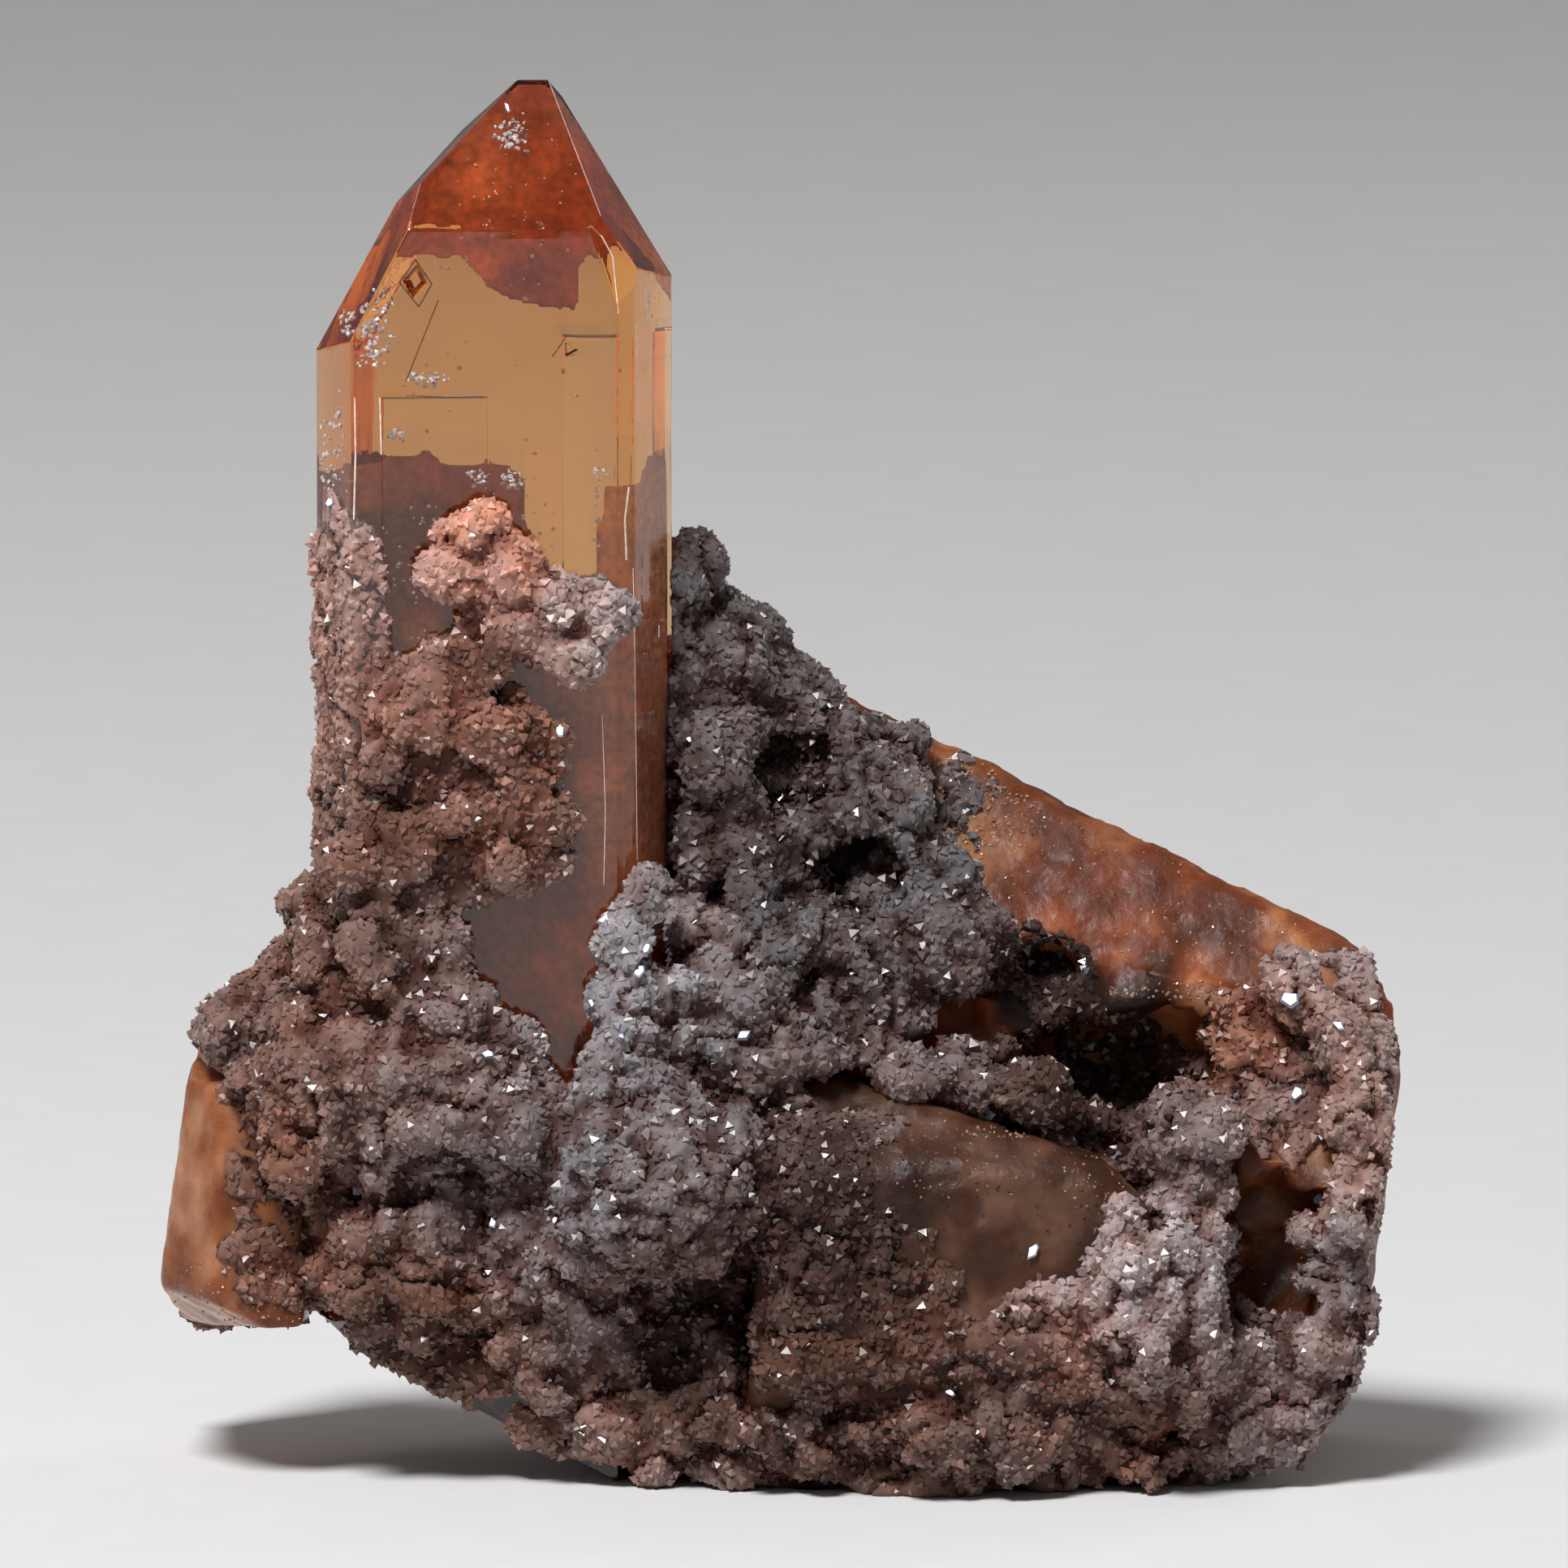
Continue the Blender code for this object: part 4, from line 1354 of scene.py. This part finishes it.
def make_mirrors(finish, trees, chance):
    """Larger quartz crystals in the crust, each with one face turned to mirror the key light."""
    points = []
    faces = []
    half_way = unit(KEY_DIRECTION - FORWARD)
    for pixel, wide, tall in MIRRORS:
        hit = first_hit(pixel, trees)
        if hit is None:
            continue
        tilt = unit(half_way + chance.normal(size=3) * 0.03)
        side = unit(np.cross(tilt, UPWARD + chance.normal(size=3) * 0.5))
        other = np.cross(tilt, side)
        middle = hit[0] + hit[1] * 0.12 + tilt * 0.06
        start = len(points)
        wide *= MIRROR_SIZE
        tall *= MIRROR_SIZE
        corners = 4 + chance.integers(0, 3)
        turns = (np.arange(corners) + chance.uniform(-0.3, 0.3, corners)) * math.tau / corners
        for spread, depth in ((1.0, 0.0), (1.35, 0.14), (0.9, 0.55)):
            for turn in turns:
                away = side * math.cos(turn) * wide / 2 + other * math.sin(turn) * tall / 2
                points.append(middle + away * spread - tilt * depth * wide * 1.4)
        faces.append([start + corner for corner in range(corners)])
        for ring in range(2):
            for corner in range(corners):
                after = (corner + 1) % corners
                low = start + (ring + 1) * corners
                high = start + ring * corners
                faces.append([high + corner, low + corner, low + after, high + after])
        faces.append([start + 2 * corners + corner for corner in reversed(range(corners))])
    tints = np.tile(FACE_WITH_PAINTED_GLINT, (len(points), 1))
    new_piece("druse_bright_faces", np.array(points), faces, finish, tints=tints)


def make_camera():
    data = bpy.data.cameras.new("camera")
    data.lens = LENS
    data.sensor_width = SENSOR
    data.clip_start = 0.01
    data.clip_end = 20
    camera = bpy.data.objects.new("camera", data)
    camera.location = CAMERA_PLACE * MM
    camera.rotation_euler = (math.pi / 2 - ELEVATION, 0, 0)
    bpy.context.scene.collection.objects.link(camera)
    bpy.context.scene.camera = camera


def add_area_light(name, direction, distance, size, power, colour):
    """A soft light that looks at the middle of the group."""
    data = bpy.data.lights.new(name, "AREA")
    data.shape = "DISK"
    data.size = size
    data.energy = power
    data.color = colour
    light = bpy.data.objects.new(name, data)
    direction = Vector(direction).normalized()
    middle = Vector((0, 0, 0.018))
    light.location = middle + direction * distance
    light.rotation_euler = (-direction).to_track_quat("-Z", "Y").to_euler()
    bpy.context.scene.collection.objects.link(light)


def make_lights():
    add_area_light("key", KEY_DIRECTION, 0.5, 0.14, 3.2, (0.97, 0.98, 1.0))
    add_area_light("rim", (0.75, 0.75, 0.55), 0.5, 0.2, 0.3, (1.0, 0.93, 0.86))
    add_area_light("back", (-0.8, 0.75, 0.35), 0.5, 0.2, 0.15, (1.0, 0.95, 0.9))
    world = bpy.data.worlds.new("studio")
    world.use_nodes = True
    background = world.node_tree.nodes["Background"]
    background.inputs["Color"].default_value = (0.95, 0.97, 1.0, 1)
    background.inputs["Strength"].default_value = 0.17
    bpy.context.scene.world = world


def make_floor():
    finish, tree, surface = new_finish("pale_floor")
    grain = noise_node(tree, 3.0, 2.0)
    stops = [(0.3, (0.68, 0.67, 0.66)), (0.7, (0.695, 0.685, 0.675))]
    tree.links.new(colours_over(tree, grain, stops), surface.inputs["Base Color"])
    surface.inputs["Roughness"].default_value = 0.8
    shape = bmesh.new()
    bmesh.ops.create_circle(shape, cap_ends=True, segments=96, radius=2.5)
    mesh = bpy.data.meshes.new("floor")
    shape.to_mesh(mesh)
    shape.free()
    mesh.materials.append(finish)
    floor = bpy.data.objects.new("floor", mesh)
    floor.location = (0, 0, -0.00002)
    bpy.context.scene.collection.objects.link(floor)


GRAIN_TRIES = 200000
GRAIN_SPACING = 0.27
LEAST_OPEN = 0.13
CREST_ROUNDS = 14


def sow_druse(ground, triangles, open_share, crest, finish, chance):
    """Quartz grains all over the crust, chunky ones with a few sharper ones among them painted brighter as
    glints.
    """
    spots, directions, picked = surface_spots(ground, triangles, GRAIN_TRIES, chance)
    kept = thinned(spots, GRAIN_SPACING)
    in_sight = open_share[triangles[picked[kept]]].mean(axis=1) > LEAST_OPEN
    kept = kept[(spots[kept, 2] > 0.12) & in_sight]
    spots, directions, picked = spots[kept], directions[kept], picked[kept]
    spot_open = open_share[triangles[picked]].mean(axis=1)
    spot_crest = crest[triangles[picked]].mean(axis=1)
    tints = druse_tints(spots, spot_open, spot_crest + 0.03)
    coarse = rough_noise(spots, 2.0, 2, 99)
    sharp = chance.random(len(spots)) < 0.03 + 0.10 * (coarse > 0.6)
    sizes = 0.11 + 0.08 * chance.random(len(spots)) + 0.05 * coarse
    lengths = sizes * chance.uniform(1.2, 1.9, len(spots))
    lengths[sharp] *= 1.3
    # Painted glints: the sharper grains are given a brighter colour.
    bright = np.where(sharp, chance.uniform(1.2, 1.8, len(spots)), chance.uniform(0.9, 1.2, len(spots)))
    axes = unit(directions + chance.normal(size=directions.shape) * 0.5)
    lift = np.where(sharp, 0.05, -0.02)
    sow_grains(
        "druse_grains",
        spots + directions * lift[:, None],
        axes,
        sizes,
        lengths,
        tints * bright[:, None],
        finish,
        chance,
    )


def build_group():
    golden = golden_finish()
    amber = cloudy_finish(
        "amber_topaz_clouded",
        [(0.3, (0.06, 0.012, 0.003)), (0.5, (0.21, 0.048, 0.013)), (0.7, (0.52, 0.20, 0.08))],
        0.35,
        (0.90, 0.60, 0.35),
        420,
        (0.38, 0.62),
    )
    brown = cloudy_finish(
        "brown_topaz_clouded",
        [(0.3, (0.025, 0.009, 0.005)), (0.5, (0.085, 0.030, 0.015)), (0.7, (0.22, 0.11, 0.065))],
        0.25,
        (0.85, 0.55, 0.30),
        500,
        (0.36, 0.6),
    )
    orange = cloudy_finish(
        "orange_topaz_clouded",
        [(0.3, (0.14, 0.035, 0.012)), (0.5, (0.36, 0.12, 0.045)), (0.7, (0.66, 0.33, 0.19))],
        0.3,
        (0.92, 0.58, 0.30),
        300,
        (0.18, 0.4),
    )
    ground_finish = druse_finish("druse_crust", (0.45, 0.65), 0.12)
    grain_finish = druse_finish("druse_grains", (0.20, 0.45))

    point, point_faces = make_point()
    block, block_faces = make_etched("tilted_topaz", 0.29, 0.24, 0.16, 2)
    slab, slab_faces = make_etched("front_topaz", 0.2, 0.3, 0.17, 14)
    corner, corner_faces = make_etched("corner_topaz", 0.18, 0.12, 0.06, 6)
    crystals = [
        (point, point_faces),
        (block, triangles_of(block_faces)),
        (slab, triangles_of(slab_faces)),
        (corner, triangles_of(corner_faces)),
    ]
    ground, ground_faces = make_ground(crystals)

    new_piece(
        "topaz_point",
        point,
        point_faces,
        golden,
        replaces=["upright_topaz"],
        tints=point_tints(point),
    )
    new_piece(
        "topaz_block",
        block,
        block_faces,
        amber,
        True,
        ["tilted_topaz"],
        block_tints(block),
    )
    new_piece(
        "topaz_slab",
        slab,
        slab_faces,
        brown,
        True,
        ["front_topaz"],
        blotchy_tints(slab),
    )
    new_piece(
        "topaz_corner",
        corner,
        corner_faces,
        orange,
        True,
        ["corner_topaz"],
        blotchy_tints(corner),
    )

    chance = np.random.default_rng(71)
    # Pale grains inside the crystal, their colour partly painted glints.
    sparkling = fleck_finish("bright_sparks", (0.80, 0.70, 0.62), (0.95, 0.90, 0.85), 0.08, 0.3)
    # Pale orange flecks, partly painted highlights.
    pale_flecks = fleck_finish("pale_flecks", (0.34, 0.15, 0.08), (0.62, 0.36, 0.24), 0.2, 0.3)
    # Pale flecks on the upright crystal, partly painted glints.
    point_flecks = fleck_finish("point_flecks", (0.50, 0.40, 0.37), (0.80, 0.72, 0.70), 0.15, 0.3)
    # Pale cream lines, partly painted highlights along the edges.
    pale_lines_and_highlights = fleck_finish("pale_lines_and_highlights", (0.75, 0.55, 0.42), (0.95, 0.80, 0.68), 0.15)
    dark_lines = fleck_finish("dark_lines", (0.10, 0.035, 0.015), (0.18, 0.07, 0.03), 0.4)
    dark_flecks = fleck_finish("dark_specks", (0.02, 0.012, 0.01), (0.05, 0.03, 0.02), 0.5)
    mirror_finish = druse_finish("druse_bright_faces", (0.16, 0.26))
    make_inclusions(crystals[0], veil_finish(), sparkling, chance)
    trees = [tree_of(ground, ground_faces)] + [tree_of(*crystal) for crystal in crystals]
    rays = 8
    make_surface_flecks("topaz_block_flecks", PALE_FLECKS, pale_flecks, trees, chance)
    make_surface_flecks("topaz_slab_specks", DARK_FLECKS, dark_flecks, trees, chance)
    make_surface_flecks("topaz_point_flecks", POINT_FLECKS, point_flecks, trees, chance)
    make_lines("topaz_point_pale_lines_and_highlights", PALE_LINES_AND_HIGHLIGHTS, pale_lines_and_highlights, trees[1])
    make_lines("topaz_point_dark_lines", DARK_LINES, dark_lines, trees[1])
    make_mirrors(mirror_finish, trees, chance)

    ground_triangles = triangles_of(ground_faces)
    solid_tree = tree_of(*joined([(ground, ground_triangles)] + crystals[1:]))
    normals = point_normals(ground, ground_faces)
    open_share = openness(ground, normals, solid_tree, rays, 3.0, chance)
    crest = crest_height(ground, ground_faces, CREST_ROUNDS)
    tints = druse_tints(ground, open_share, crest)
    skin = new_mesh("druse_ground", ground, ground_faces, ground_finish, True, tints)
    for number, part in enumerate(closed_parts(skin, CRUST_PARTS)):
        place_piece(f"druse_ground_{number + 1}", part, ["quartz_druse"])
    bpy.data.meshes.remove(skin)
    sow_druse(ground, ground_triangles, open_share, crest, grain_finish, chance)


make_camera()
make_lights()
make_floor()
build_group()
bpy.context.scene.view_settings.view_transform = "Standard"
